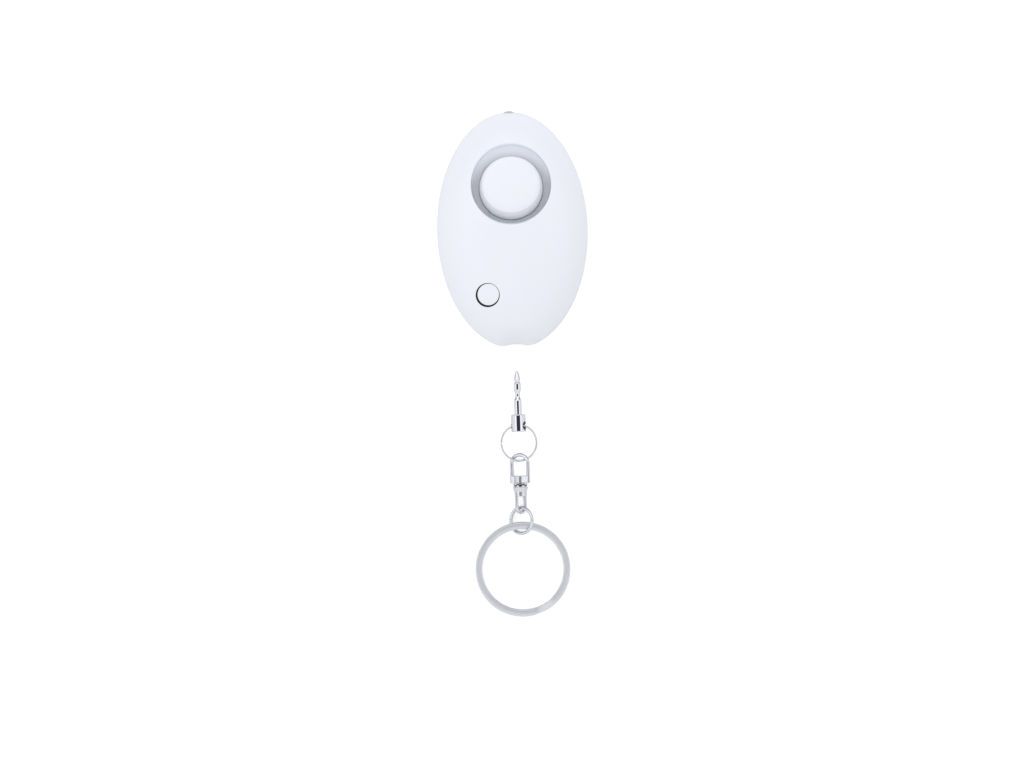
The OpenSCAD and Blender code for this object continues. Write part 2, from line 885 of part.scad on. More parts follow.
module step_up_coil() {
    color("peru")
        translate([coil_at[0], coil_at[1], board_top]) {
            cylinder(h = coil_flange_h, d = coil_d);
            cylinder(h = coil_h, r = coil_neck_r);
            translate([0, 0, coil_h - coil_flange_h])
                cylinder(h = coil_flange_h, d = coil_d);
        }
}

// A block on the board, centred on a place
module board_block(place, size) {
    translate([place[0] - size[0] / 2, place[1] - size[1] / 2, board_top])
        cube(size);
}

module driver_transistor() {
    color("dimgray")
        board_block(transistor_at, transistor_size);
}

module small_components() {
    color("tan")
        for (i = [0 : component_count - 1])
            board_block(
                [chip_x + (i - (component_count - 1) / 2) * component_pitch, component_y],
                component_size
            );
}

module tact_switch() {
    color("dimgray")
        difference() {
            board_block(button_at, [switch_w, switch_w, switch_h]);
            translate([button_at[0], button_at[1], plunger_foot - button_travel - plunger_gap])
                cylinder(h = case_t, r = plunger_r + fit);
        }
}

module switch_plunger() {
    color("black")
        translate([button_at[0], button_at[1], plunger_foot])
            cylinder(h = plunger_top - plunger_foot, r = plunger_r);
}

module light_button() {
    color("ghostwhite") {
        intersection() {
            translate([0, 0, -button_sink])
                dome_solid(0, dome_sides, dome_rings, 0);
            translate([button_at[0], button_at[1], plunger_top])
                cylinder(h = case_t, r = button_r);
        }
        translate([button_at[0], button_at[1], plunger_top])
            cylinder(h = flange_t, r = button_r + flange_over);
    }
}

module lamp() {
    color("lightgray")
        translate([0, 0, lamp_z]) {
            rod_y(lamp_front_y, lamp_tip_y - lamp_r, lamp_r);
            rod_y(lamp_front_y - lamp_flange_t, lamp_front_y, lamp_flange_r);
            translate([0, lamp_tip_y - lamp_r, 0])
                sphere(r = lamp_r);
        }
}

module lead(points) {
    skin([for (i = [0 : len(points) - 1]) tube_ring(points[i], along(points, i), lead_d / 2, lead_sides)]);
}

// The board end of a lead: up over the board's edge, along to its pad and straight down onto it
function lead_end(pad) = [
    [pad[0], board_y + 2, board_top + lead_over],
    [pad[0], board_y - 1, board_top + lead_over],
    [pad[0], pad[1], board_top + lead_over],
    [pad[0], pad[1], board_top]
];

module lamp_leads() {
    root_y = lamp_front_y - lamp_flange_t;
    color("firebrick")
        for (i = [0, 1])
            let (x = lamp_lead_spread * (1 - 2 * i))
                lead(concat(
                    [[x, root_y, lamp_z], [x, root_y - lead_drop, lamp_z]],
                    lamp_lead_routes[i],
                    lead_end(lead_pads[i])
                ));
}

module siren_leads() {
    color("dimgray")
        for (i = [0, 1])
            let (first = siren_lead_routes[i][0], pad = lead_pads[i])
                lead(concat(
                    [[first[0], first[1], siren_lead_roots[i]]],
                    siren_lead_routes[i],
                    lead_end([-pad[0], pad[1]])
                ));
}

module button_cells() {
    color("silver")
        for (i = [0 : cell_count - 1])
            translate([i * (cell_h + cell_gap) - stack_l / 2, cell_y, cell_z]) {
                rod_x(0, cell_cap_h, cell_cap_r);
                rod_x(cell_cap_h, cell_h, cell_r);
            }
}

// A contact plate flat against the bay's wall, with a tail that lies on the board
module contact_plate() {
    box([bay_x - contact_t, bay_x],
        [cell_y - contact_w / 2, cell_y + contact_w / 2],
        [cell_z - contact_h / 2, cell_z + contact_h / 2]);
    box([bay_x - contact_t, bay_x],
        [tail_y, cell_y],
        [board_top, board_top + tail_h]);
}

module plus_contact() {
    color("goldenrod") {
        contact_plate();
        translate([0, cell_y, cell_z])
            rod_x(stack_l / 2, bay_x, dimple_r);
    }
}

module minus_contact() {
    color("goldenrod")
        mirror([1, 0, 0]) {
            contact_plate();
            translate([0, cell_y, cell_z - bow_w / 2])
                intersection() {
                    linear_extrude(bow_w)
                        translate([stack_l / 2 + bow_r, 0])
                            difference() {
                                circle(r = bow_r);
                                circle(r = bow_r - contact_t);
                            }
                    box([stack_l / 2, bay_x - contact_t / 2], [-bow_r, bow_r], [0, bow_w]);
                }
        }
}

module socket_bush() {
    color("gold")
        translate([0, 0, pin_z])
            difference() {
                rod_y(bush_y, bush_y + bush_l, bush_r);
                rod_y(bush_y - over, bush_y + bush_l + over, bush_bore_r);
            }
}

// A flat spring under the board, held aside as the pin's front bulge holds it when the pin is home.
// Its finger then stands clear of the fixed contact.
module leaf_contact() {
    nose_r = leaf_x - nose_x;
    color("gold")
        translate([0, 0, leaf_z]) {
            linear_extrude(board_z - leaf_z) {
                translate([leaf_x, finger_y])
                    square([leaf_t, leaf_root_y - finger_y]);
                translate([leaf_x, leaf_root_y - leaf_t])
                    square([leaf_foot, leaf_t]);
            }
            linear_extrude(2 * (pin_z - leaf_z))
                intersection() {
                    translate([leaf_x, nose_y])
                        circle(r = nose_r);
                    translate([0, nose_y - nose_r])
                        square([leaf_x, 2 * nose_r]);
                }
            translate([0, 0, finger_z - leaf_z])
                linear_extrude(finger_top - finger_z)
                    translate([contact_space, finger_y])
                        square([leaf_x - contact_space, finger_w]);
        }
}

module fixed_contact() {
    color("gold")
        box([-fixed_side, 0], [finger_y, finger_y + fixed_side], [finger_z, board_z]);
}

// The pin's outline as [distance from the tip, radius], with eased steps between its stations
function eased(a, b, steps) = a[1] == b[1] ? [a] : [
    for (k = [0 : steps - 1]) let (t = k / steps)
        [a[0] + (b[0] - a[0]) * t, a[1] + (b[1] - a[1]) * (1 - cos(180 * t)) / 2]
];

module pull_pin() {
    last = len(pin_stations) - 1;
    outline = [
        for (i = [0 : last - 1]) each eased(pin_stations[i], pin_stations[i + 1], pin_steps),
        pin_stations[last]
    ];
    color("silver")
        translate([0, tip_y, pin_z])
            rotate([90, 0, 0])
                rotate_extrude()
                    polygon(concat(
                        [[0, 0]],
                        [for (p = outline) [p[1], p[0]]],
                        [[0, pin_l + shank_in]]
                    ));
}

module pin_ferrule() {
    c = ferrule_chamfer;
    r = ferrule_d / 2;
    flare = 2 * ring_mouth;
    color("silver")
        translate([0, ferrule_y, pin_z])
            rotate([90, 0, 0])
                difference() {
                    rotate_extrude()
                        polygon([
                            [0, 0], [r - c, 0], [r, c],
                            [r, ferrule_l - c], [r - c, ferrule_l], [0, ferrule_l]
                        ]);
                    translate([0, 0, -over])
                        cylinder(h = over + shank_in, r = pin_shank_d / 2 + snug);
                    translate([0, 0, ring_hole_down])
                        rotate([0, 0, ring_roll]) {
                            rod_x(-far, far, ring_hole_r);
                            translate([r - ring_mouth, 0, 0])
                                rotate([0, 90, 0])
                                    cylinder(h = flare, r1 = ring_hole_r, r2 = ring_hole_r + flare);
                        }
                }
}

module link_ring() {
    color("silver")
        translate([0, hole_y, pin_z])
            rotate([0, -ring_roll, 0])
                rotate([ring_slope, 0, 0])
                    translate([0, ring_sag / 2 - ring_r, 0])
                        difference() {
                            torus(ring_r, ring_wire);
                            box([-far, 0], [-ring_split / 2, ring_split / 2], [-over, over]);
                        }
}

module swivel_shackle() {
    half_t = shackle_wire / 2;
    color("silver")
        translate([0, 0, swivel_z])
            rotate([0, -shackle_roll, 0])
                difference() {
                    union() {
                        translate([0, arch_y, 0])
                            half_torus(shackle_r, shackle_wire);
                        for (side = [-1, 1])
                            translate([side * shackle_r, 0, 0])
                                rod_y(bridge_y, arch_y, half_t);
                        box([-shackle_r, shackle_r], [bridge_y, bridge_y + bridge_h], [-half_t, half_t]);
                        rod_y(bridge_y, bridge_y + bridge_h, bridge_boss_r);
                    }
                    rod_y(bridge_y - over, bridge_y + bridge_h + over, post_r + post_play);
                    rod_y(post_head_y - post_play, bridge_y + bridge_h + over, post_head_r + post_play);
                }
}

module swivel_post() {
    color("silver")
        translate([0, 0, swivel_z]) {
            rod_y(loop_top - post_in, post_head_y, post_r);
            rod_y(post_head_y, post_head_y + post_head_h, post_head_r);
        }
}

module swivel_loop() {
    head_foot = loop_top - loop_head_l;
    foot_r = loop_head_r - loop_head_taper;
    color("silver")
        translate([0, 0, swivel_z])
            rotate([0, -loop_roll, 0])
                difference() {
                    union() {
                        translate([0, head_foot, 0])
                            rotate([-90, 0, 0])
                                cylinder(h = loop_head_l, r1 = foot_r, r2 = loop_head_r);
                        for (side = [-1, 1])
                            translate([side * loop_r, 0, 0])
                                rod_y(eye_y, head_foot + over, loop_wire / 2);
                        translate([0, eye_y, 0])
                            rotate([180, 0, 0])
                                half_torus(loop_r, loop_wire);
                    }
                    rod_y(loop_top - post_in, loop_top + over, post_r + snug);
                }
}

module jump_ring() {
    color("silver")
        translate([0, jump_y, jump_z])
            rotate([0, -jump_roll, 0])
                difference() {
                    torus(jump_r, jump_wire);
                    box([-far, 0], [-ring_split / 2, ring_split / 2], [-over, over]);
                }
}

// The strip's cross-section at an angle round the key ring, with its underside at height z
function strip_ring(angle, z) = [
    for (p = [[key_hole_r, 0], [key_hole_r, key_turn_t], [key_r, key_turn_t], [key_r, 0]])
        [p[0] * cos(angle), p[0] * sin(angle), z + p[1]]
];

// One flat turn of the strip, short of a whole turn by the step
function strip_turn(z) = [
    for (k = [0 : key_turn_rings])
        strip_ring(key_step / 2 + (360 - key_step) * k / key_turn_rings, z)
];

// The step that carries the strip from the lower turn to the upper one
strip_step = [
    for (k = [1 : key_step_rings - 1]) let (t = k / key_step_rings)
        strip_ring(key_step * (t - 1 / 2), key_rise * (1 - cos(180 * t)) / 2)
];

// One strip wound twice round
module key_ring() {
    color("lightsteelblue")
        translate([0, key_y, key_z])
            rotate([key_tilt, 0, 0])
                rotate(key_step_at)
                    translate([0, 0, -key_t / 2])
                        skin(concat(strip_turn(0), strip_step, strip_turn(key_rise)));
}

front_shell();
rear_shell();
battery_door();
case_screws();
door_screw();
siren_disc();
resonator();
piezo_plate();
piezo_ceramic();
circuit_board();
control_chip();
step_up_coil();
driver_transistor();
small_components();
tact_switch();
switch_plunger();
light_button();
lamp();
lamp_leads();
siren_leads();
button_cells();
plus_contact();
minus_contact();
socket_bush();
leaf_contact();
fixed_contact();
pull_pin();
pin_ferrule();
link_ring();
swivel_shackle();
swivel_post();
swivel_loop();
jump_ring();
key_ring();
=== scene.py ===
import json
from math import asin, cos, hypot, pi, radians, sin, sqrt, tan

import bmesh
import bpy
from mathutils import Matrix, Vector


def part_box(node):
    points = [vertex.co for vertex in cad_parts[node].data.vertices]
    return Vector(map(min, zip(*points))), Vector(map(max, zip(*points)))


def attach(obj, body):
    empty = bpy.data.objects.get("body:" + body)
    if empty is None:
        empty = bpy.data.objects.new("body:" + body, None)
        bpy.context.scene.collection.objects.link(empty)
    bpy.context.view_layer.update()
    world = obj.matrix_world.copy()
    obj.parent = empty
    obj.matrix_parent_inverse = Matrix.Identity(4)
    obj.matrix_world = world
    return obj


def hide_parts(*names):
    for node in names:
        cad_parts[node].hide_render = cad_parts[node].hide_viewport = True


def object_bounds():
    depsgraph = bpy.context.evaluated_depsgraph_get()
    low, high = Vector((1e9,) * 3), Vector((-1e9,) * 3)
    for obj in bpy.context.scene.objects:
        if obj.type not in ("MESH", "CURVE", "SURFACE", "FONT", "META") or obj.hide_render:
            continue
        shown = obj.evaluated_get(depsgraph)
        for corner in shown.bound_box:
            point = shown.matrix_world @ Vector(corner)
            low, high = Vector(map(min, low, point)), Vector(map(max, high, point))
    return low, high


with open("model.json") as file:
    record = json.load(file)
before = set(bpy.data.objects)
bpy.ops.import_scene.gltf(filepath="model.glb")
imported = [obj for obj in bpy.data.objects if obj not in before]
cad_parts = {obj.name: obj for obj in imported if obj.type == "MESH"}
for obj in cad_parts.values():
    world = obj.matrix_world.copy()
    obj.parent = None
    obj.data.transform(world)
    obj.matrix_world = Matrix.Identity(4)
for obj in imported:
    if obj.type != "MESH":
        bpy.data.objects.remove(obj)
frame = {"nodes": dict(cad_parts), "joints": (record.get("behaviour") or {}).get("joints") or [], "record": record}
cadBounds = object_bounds()
scene = bpy.context.scene
mm = 0.001
joints = {joint["name"]: joint for joint in frame["joints"]}
# Distances at which points and edges count as one, and the bends that count as flat and as an edge
weld = {"points": 0.0005, "edges": 0.0002, "flat": radians(1), "bend": radians(50)}
# How far cutters run past the faces that they open
overrun = {"face": 1, "bridge": 2, "through": 4}
# How far from a rounded edge the row lies that holds it
support = 0.05
print("scene: frame loaded")


# Lengths are in millimetres until a mesh is made.
def boxOf(node):
    low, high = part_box(node)
    return low / mm, high / mm


def jointPlace(name):
    return Vector(joints[name]["pos_m"]) / mm


def jointAxis(name):
    return Vector(joints[name]["axis"]).normalized()


def smoothStep(start, end, value):
    t = min(1.0, max(0.0, (value - start) / (end - start)))
    return t * t * (3 - 2 * t)


def softMin(p, q, width):
    near = max(width - abs(p - q), 0.0) / width
    return min(p, q) - near * near * width / 4


def axesMatrix(xAxis, yAxis, zAxis, origin):
    return Matrix.Translation(origin * mm) @ Matrix((xAxis, yAxis, zAxis)).transposed().to_4x4()


# Faces between rows of equal length, each row closed on itself
def gridFaces(rowCount, columnCount):
    faces = []
    for k in range(rowCount - 1):
        a, b = k * columnCount, (k + 1) * columnCount
        for j in range(columnCount):
            n = (j + 1) % columnCount
            faces.append((a + j, b + j, b + n, a + n))
    return faces


# A closed skin over rows, with a flat cap at each end
def closedSkin(rows):
    count = len(rows[0])
    last = (len(rows) - 1) * count
    faces = gridFaces(len(rows), count)
    faces += [tuple(range(count)), tuple(last + j for j in reversed(range(count)))]
    return [p for row in rows for p in row], faces


def joined(*skins):
    points, faces = [], []
    for somePoints, someFaces in skins:
        shift = len(points)
        points += somePoints
        faces += [tuple(i + shift for i in face) for face in someFaces]
    return points, faces


def fullTurn(sides):
    return [2 * pi * j / sides for j in range(sides)]


# Sine and cosine over a quarter turn, for rounded edges
def quarterTurn(steps):
    return [(sin(pi / 2 * i / steps), cos(pi / 2 * i / steps)) for i in range(steps + 1)]


# Rows of a turned form about the Y axis, from (distance along Y, radius) pairs
def turnedRows(profile, sides):
    return [[(r * cos(t), y, r * sin(t)) for t in fullTurn(sides)] for y, r in profile]


# Rows of a round wire along a flat path of (point, heading) pairs in the XY plane
def wireRows(path, radius, sides):
    up = Vector((0, 0, 1))
    rows = []
    for point, heading in path:
        side = Vector(heading).cross(up).normalized()
        rows.append([Vector(point) + radius * (cos(t) * side + sin(t) * up) for t in fullTurn(sides)])
    return rows


# Part of a circle as a path for a wire, from one angle to another
def arcPath(centre, radius, start, end, steps):
    path = []
    for i in range(steps + 1):
        t = start + (end - start) * i / steps
        spoke = Vector((cos(t), sin(t), 0))
        heading = Vector((-sin(t), cos(t), 0)) * (1 if end > start else -1)
        path.append((Vector(centre) + radius * spoke, heading))
    return path


def roundedRectangle(middle, halfX, halfY, corner, steps):
    outline = []
    for quarter, (sx, sy) in enumerate([(1, 1), (-1, 1), (-1, -1), (1, -1)]):
        for i in range(steps + 1):
            t = pi / 2 * (quarter + i / steps)
            x = middle[0] + sx * (halfX - corner) + corner * cos(t)
            y = middle[1] + sy * (halfY - corner) + corner * sin(t)
            outline.append((x, y))
    return outline


def makeObject(name, skin, place=None):
    mesh = bpy.data.meshes.new(name)
    mesh.from_pydata([Vector(p) * mm for p in skin[0]], [], skin[1])
    work = bmesh.new()
    work.from_mesh(mesh)
    bmesh.ops.remove_doubles(work, verts=work.verts, dist=weld["points"] * mm)
    bmesh.ops.dissolve_degenerate(work, edges=work.edges, dist=weld["edges"] * mm)
    bmesh.ops.delete(work, geom=[v for v in work.verts if not v.link_faces], context="VERTS")
    bmesh.ops.recalc_face_normals(work, faces=work.faces)
    work.to_mesh(mesh)
    work.free()
    if place is not None:
        mesh.transform(place)
    piece = bpy.data.objects.new(name, mesh)
    scene.collection.objects.link(piece)
    return piece


# Bakes the piece's modifiers into its mesh
def bake(piece):
    bpy.context.view_layer.update()
    evaluated = piece.evaluated_get(bpy.context.evaluated_depsgraph_get())
    mesh = bpy.data.meshes.new_from_object(evaluated)
    piece.modifiers.clear()
    piece.data = mesh


def cutWith(piece, *cutters):
    for cutter in cutters:
        change = piece.modifiers.new("cut", "BOOLEAN")
        change.operation = "DIFFERENCE"
        change.solver = "EXACT"
        change.object = cutter
    bake(piece)
    for cutter in cutters:
        bpy.data.objects.remove(cutter)


def rodCutter(start, end, radius, sides=64):
    start, end = Vector(start), Vector(end)
    turn = (end - start).to_track_quat("Y", "Z").to_matrix().to_4x4()
    rows = turnedRows([(0, radius), ((end - start).length, radius)], sides)
    return makeObject("cutter", closedSkin(rows), Matrix.Translation(start * mm) @ turn)


# A copy of a CAD node with its edges broken, for small machined and moulded pieces
def brokenEdgeCopy(node, name, width):
    work = bmesh.new()
    work.from_mesh(frame["nodes"][node].data)
    bmesh.ops.remove_doubles(work, verts=work.verts, dist=weld["points"] * mm)
    bmesh.ops.dissolve_limit(work, angle_limit=weld["flat"], verts=work.verts, edges=work.edges)
    mesh = bpy.data.meshes.new(name)
    work.to_mesh(mesh)
    work.free()
    piece = bpy.data.objects.new(name, mesh)
    scene.collection.objects.link(piece)
    change = piece.modifiers.new("broken edges", "BEVEL")
    change.limit_method = "ANGLE"
    change.angle_limit = weld["bend"]
    change.width = width * mm
    change.segments = 2
    bake(piece)
    return piece


# Marks the faces that a test picks by their middle as deep, for the shade that the finish paints on them
def markPaintedShade(piece, isDeep, fullDepth=2.0):
    marks = piece.data.attributes.new("depth", "FLOAT", "FACE")
    for face, mark in zip(piece.data.polygons, marks.data):
        mark.value = fullDepth if isDeep(face.center / mm) else 0.0


# Shading, finish and place in the frame
def settle(piece, body, nodes, slotName, sharpAngle=35):
    mesh = piece.data
    for face in mesh.polygons:
        face.use_smooth = True
    mesh.set_sharp_from_angle(angle=radians(sharpAngle))
    mesh.materials.clear()
    mesh.materials.append(finishes[slotName])
    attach(piece, body)
    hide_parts(*nodes)


def colour(code):
    parts = [int(code[i:i + 2], 16) / 255 for i in (1, 3, 5)]
    return [c / 12.92 if c <= 0.04045 else ((c + 0.055) / 1.055) ** 2.4 for c in parts] + [1.0]


def addNode(tree, kind, settings=None, values=None, links=None):
    node = tree.nodes.new(kind)
    for name, value in (settings or {}).items():
        setattr(node, name, value)
    for socket, value in (values or {}).items():
        node.inputs[socket].default_value = value
    for socket, source in (links or {}).items():
        tree.links.new(source, node.inputs[socket])
    return node


def mathNode(tree, operation, links, values=None):
    return addNode(tree, "ShaderNodeMath", {"operation": operation}, values, links).outputs[0]


# A surface of two colours clouded over each other, with a varying roughness and a fine relief.
# grain or rings gives the size of the relief in mm and relief its depth; stretch draws it out.
# The colours listed for deep places are painted shade: the surface takes them where the mesh marks it as deep.
def makeFinish(name, recipe):
    material = bpy.data.materials.new(name)
    material.use_nodes = True
    tree = material.node_tree
    tree.nodes.clear()
    place = addNode(tree, "ShaderNodeTexCoord").outputs["Object"]
    drawn = addNode(
        tree, "ShaderNodeMapping",
        values={"Scale": recipe.get("stretch", (1, 1, 1))}, links={"Vector": place},
    ).outputs["Vector"]
    if "rings" in recipe:
        pattern = addNode(
            tree, "ShaderNodeTexWave", settings={"wave_type": "RINGS", "rings_direction": "Z"},
            values={
                "Scale": pi / (10 * recipe["rings"] * mm), "Distortion": 5, "Detail": 3, "Detail Scale": 2,
            },
            links={"Vector": drawn},
        ).outputs["Fac"]
    else:
        pattern = addNode(
            tree, "ShaderNodeTexNoise",
            values={"Scale": 1 / (recipe["grain"] * mm), "Detail": 4, "Roughness": 0.6},
            links={"Vector": drawn},
        ).outputs["Fac"]
    cloud = addNode(
        tree, "ShaderNodeTexNoise",
        values={"Scale": 1 / (recipe.get("cloud", 6) * mm), "Detail": 2}, links={"Vector": place},
    ).outputs["Fac"]
    tint = addNode(
        tree, "ShaderNodeMix", settings={"data_type": "RGBA"},
        values={6: colour(recipe["colour"]), 7: colour(recipe["shade"])}, links={0: cloud},
    ).outputs[2]
    # Painted shade: each colour is mixed in over the range of the depth mark from start to end.
    for code, start, end in recipe.get("paintedShades", []):
        depth = addNode(tree, "ShaderNodeAttribute", settings={"attribute_name": "depth"}).outputs["Fac"]
        share = addNode(
            tree, "ShaderNodeMapRange", settings={"interpolation_type": "SMOOTHSTEP"},
            values={"From Min": start, "From Max": end}, links={"Value": depth},
        ).outputs["Result"]
        tint = addNode(
            tree, "ShaderNodeMix", settings={"data_type": "RGBA"},
            values={7: colour(code)}, links={0: share, 6: tint},
        ).outputs[2]
    low, high = recipe["roughness"]
    rough = addNode(
        tree, "ShaderNodeMapRange",
        values={"From Min": 0.3, "From Max": 0.7, "To Min": low, "To Max": high}, links={"Value": pattern},
    ).outputs["Result"]
    relief = addNode(
        tree, "ShaderNodeBump",
        values={"Strength": recipe.get("strength", 0.4), "Distance": recipe["relief"] * mm},
        links={"Height": pattern},
    ).outputs["Normal"]
    values = {"Metallic": recipe.get("metallic", 0.0)}
    if "ior" in recipe:
        values["IOR"] = recipe["ior"]
    shader = addNode(
        tree, "ShaderNodeBsdfPrincipled", values=values,
        links={"Base Color": tint, "Roughness": rough, "Normal": relief},
    )
    addNode(tree, "ShaderNodeOutputMaterial", links={"Surface": shader.outputs["BSDF"]})
    return material


finishes = {
    # Spark-eroded mould: an even satin white, a little cool, with no sharp highlights. Shade is painted
    # into its colour: greyer down in the siren's groove and on the siren disc's rounded edge, and dark in
    # the gap round the button.
    "shell": makeFinish("moulded white ABS", {
        "colour": "#F0F2FB", "shade": "#EEF1FA", "grain": 0.25, "cloud": 14,
        "roughness": (0.36, 0.44), "relief": 0.004, "ior": 1.53,
        "paintedShades": [("#C7C9CF", 1.8, 3.1), ("#26272C", 4, 8)],
    }),
    # Unpainted inner moulding: warmer and duller than the shells
    "inner_plastic": makeFinish("natural ABS", {
        "colour": "#D8D6CC", "shade": "#CFCDC2", "grain": 0.3,
        "roughness": (0.45, 0.6), "relief": 0.006, "ior": 1.53,
    }),
    # Moulding compound: matt charcoal with a faint grit
    "dark_plastic": makeFinish("epoxy moulding compound", {
        "colour": "#242426", "shade": "#2B2B2D", "grain": 0.15,
        "roughness": (0.5, 0.7), "relief": 0.006, "ior": 1.55,
    }),
    # Diffused lamp body: milky grey, softly glossy as cast
    "lamp_epoxy": makeFinish("diffused lamp epoxy", {
        "colour": "#C9C8CE", "shade": "#C2C1C8", "grain": 0.4,
        "roughness": (0.16, 0.24), "relief": 0.001, "ior": 1.54,
    }),
    # Solder mask over glass cloth: green with the cloth just showing
    "laminate": makeFinish("green glass laminate", {
        "colour": "#1E5A34", "shade": "#1A4F2D", "grain": 0.5,
        "roughness": (0.3, 0.45), "relief": 0.008, "ior": 1.5,
    }),
    # Enamelled wire: orange-brown turns with a lacquer gloss
    "copper_winding": makeFinish("enamelled copper wire", {
        "colour": "#A85F35", "shade": "#93512C", "grain": 0.2, "metallic": 1.0,
        "roughness": (0.22, 0.35), "relief": 0.03, "stretch": (0.2, 0.2, 3),
    }),
    # Rolled sheet brass: yellow, softly streaked
    "brass": makeFinish("rolled brass", {
        "colour": "#C9A45A", "shade": "#BC964D", "grain": 0.3, "metallic": 1.0,
        "roughness": (0.22, 0.36), "relief": 0.003, "stretch": (1, 0.15, 1),
    }),
    # Fired ceramic: matt off-white
    "ceramic": makeFinish("fired ceramic", {
        "colour": "#D9D4C6", "shade": "#CFC9BA", "grain": 0.1,
        "roughness": (0.55, 0.7), "relief": 0.005, "ior": 1.6,
    }),
    # Nickel-plated steel cans: bright with a soft bloom
    "cell_steel": makeFinish("nickel-plated can", {
        "colour": "#C4C3BE", "shade": "#B9B8B3", "grain": 0.25, "metallic": 1.0,
        "roughness": (0.2, 0.32), "relief": 0.002,
    }),
    # Spring bronze strip: pinkish, with rolling marks
    "spring_bronze": makeFinish("spring bronze", {
        "colour": "#BE8A66", "shade": "#AE7C5A", "grain": 0.2, "metallic": 1.0,
        "roughness": (0.22, 0.34), "relief": 0.003, "stretch": (1, 0.2, 1),
    }),
    # Zinc-plated screws: grey-white with a slightly crystalline surface
    "screw_steel": makeFinish("zinc-plated steel", {
        "colour": "#B4B6BB", "shade": "#A5A8AE", "grain": 0.12, "metallic": 1.0,
        "roughness": (0.25, 0.4), "relief": 0.004,
    }),
    # Lead insulation: soft-gloss vinyl
    "red_lead": makeFinish("red vinyl", {
        "colour": "#A8262A", "shade": "#982024", "grain": 0.3,
        "roughness": (0.35, 0.45), "relief": 0.006, "ior": 1.53,
    }),
    "black_lead": makeFinish("black vinyl", {
        "colour": "#1D1D1F", "shade": "#242426", "grain": 0.3,
        "roughness": (0.35, 0.45), "relief": 0.006, "ior": 1.53,
    }),
    # Bright plating over turned brass: mirror-like, with faint turning marks round the axis, and with
    # shade painted dark inside the ferrule's cross hole
    "pin_chrome": makeFinish("bright plated turned brass", {
        "colour": "#E2E4EA", "shade": "#DBDDE4", "grain": 0.3, "metallic": 1.0,
        "roughness": (0.03, 0.07), "relief": 0.0008, "stretch": (0.15, 3, 0.15),
        "paintedShades": [("#56565E", 1, 2)],
    }),
    # Barrel-plated wire: bright nickel softened by tiny knocks, with shade painted dark in the crimped collar of
    # the swivel
    "wire_nickel": makeFinish("barrel-plated nickel wire", {
        "colour": "#DCDEE4", "shade": "#D2D4DB", "grain": 0.35, "metallic": 1.0,
        "roughness": (0.18, 0.28), "relief": 0.003, "paintedShades": [("#404047", 1, 2)],
    }),
    # Tumbled nickel on flattened wire: satin, brushed round the ring. The brush lines are really
    # about 0.03 mm apart and are drawn coarser so that they show.
    "ring_nickel": makeFinish("tumbled satin nickel", {
        "colour": "#DFE1E7", "shade": "#D7D9E0", "rings": 0.3, "metallic": 1.0,
        "roughness": (0.3, 0.4), "relief": 0.002, "strength": 0.25,
    }),
}
print("scene: finishes made")

# Case
frontLow, frontHigh = boxOf("front_shell")
case = {
    "halfWidth": frontHigh.x,
    "halfLength": frontHigh.y,
    "seam": frontLow.z,
    "rise": frontHigh.z - frontLow.z,
    "fullness": 2.4,
    "wall": 1.6,
    "back": 1.6,
    "backRound": 2.2,
    "endFlat": frontHigh.y + frontLow.y,
    "notchWidth": 5.5,
    "notchDepth": 0.42,
    "notchSoft": 0.1,
    "endSoft": 0.3,
    "endBlend": (0.8, 0.94),
    "seamBreak": 0.09,
}


# Share of the ellipse's radius that the flat pin end and its notch leave, towards (x, y)
def endShare(x, y, inset, cutInset):
    if y >= 0:
        return 1.0
    a, b = case["halfWidth"] - inset, case["halfLength"] - inset
    scale = 1 / hypot(x / a, y / b)
    across, half, depth = x * scale, case["notchWidth"] / 2, case["notchDepth"]
    radius = (half * half + depth * depth) / (2 * depth)
    arc = depth - radius + sqrt(max(0.0, radius * radius - across * across))
    cut = case["halfLength"] - cutInset - case["endFlat"] + softMin(-arc, 0.0, case["notchSoft"])
    length = hypot(x, y) * scale
    return softMin(length, cut * hypot(x, y) / -y, case["endSoft"]) / length


def outlinePoint(turn, inset, cutInset):
    x = (case["halfWidth"] - inset) * cos(turn)
    y = (case["halfLength"] - inset) * sin(turn)
    share = endShare(x, y, inset, cutInset)
    return x * share, y * share


def domeHeight(x, y, inset=0.0):
    a, b = case["halfWidth"] - inset, case["halfLength"] - inset
    reach = hypot(x / a, y / b)
    blendFrom, blendTo = case["endBlend"]
    if reach > blendFrom:
        share = endShare(x, y, inset, inset)
        reach /= 1 - (1 - share) * smoothStep(blendFrom, blendTo, reach)
    n = case["fullness"]
    return case["seam"] + (case["rise"] - inset) * max(0.0, 1 - reach ** n) ** (1 / n)


# Front shell: a closed skin in two patches that meet on a line across the case. Each patch is
# seen from a hole, and each of its columns runs from the inner edge, over the hole's wall, to
# the outer edge.
resonatorLow, resonatorHigh = boxOf("resonator")
discLow = boxOf("siren_disc")[0]
disc = {
    "radius": 8.35, "edge": 2.1, "edgeMore": 1.6, "sink": 0.35, "sides": 180, "edgeRows": 22, "crownRows": 18,
    "darkening": 2.7, "darkest": 2.45,
}
discAt = Vector((0, discLow.y + disc["radius"]))
recess = {
    "at": Vector((0, (resonatorLow.y + resonatorHigh.y) / 2)),
    "radius": 10.5,
    "rim": 0.4,
    "rimMore": 0.6,
    "floor": 11.4,
    "floorMore": 1.7,
    "floorRound": 0.35,
    "draft": 0.5,
    "slit": disc["radius"] + 0.08,
    "slitBreak": 0.05,
    "outer": 11.7,
    "bottom": resonatorHigh.z,
    # The groove's depth marks, and so its painted shade, are scaled to this share at the lamp end, where the lamp
    # lights it
    "lampShare": 0.84,
}
buttonHole = {
    "at": Vector((-7, -17)), "radius": 3.15, "rim": 0.18, "outer": 4.15, "bottom": 10.5, "darkening": 10,
}
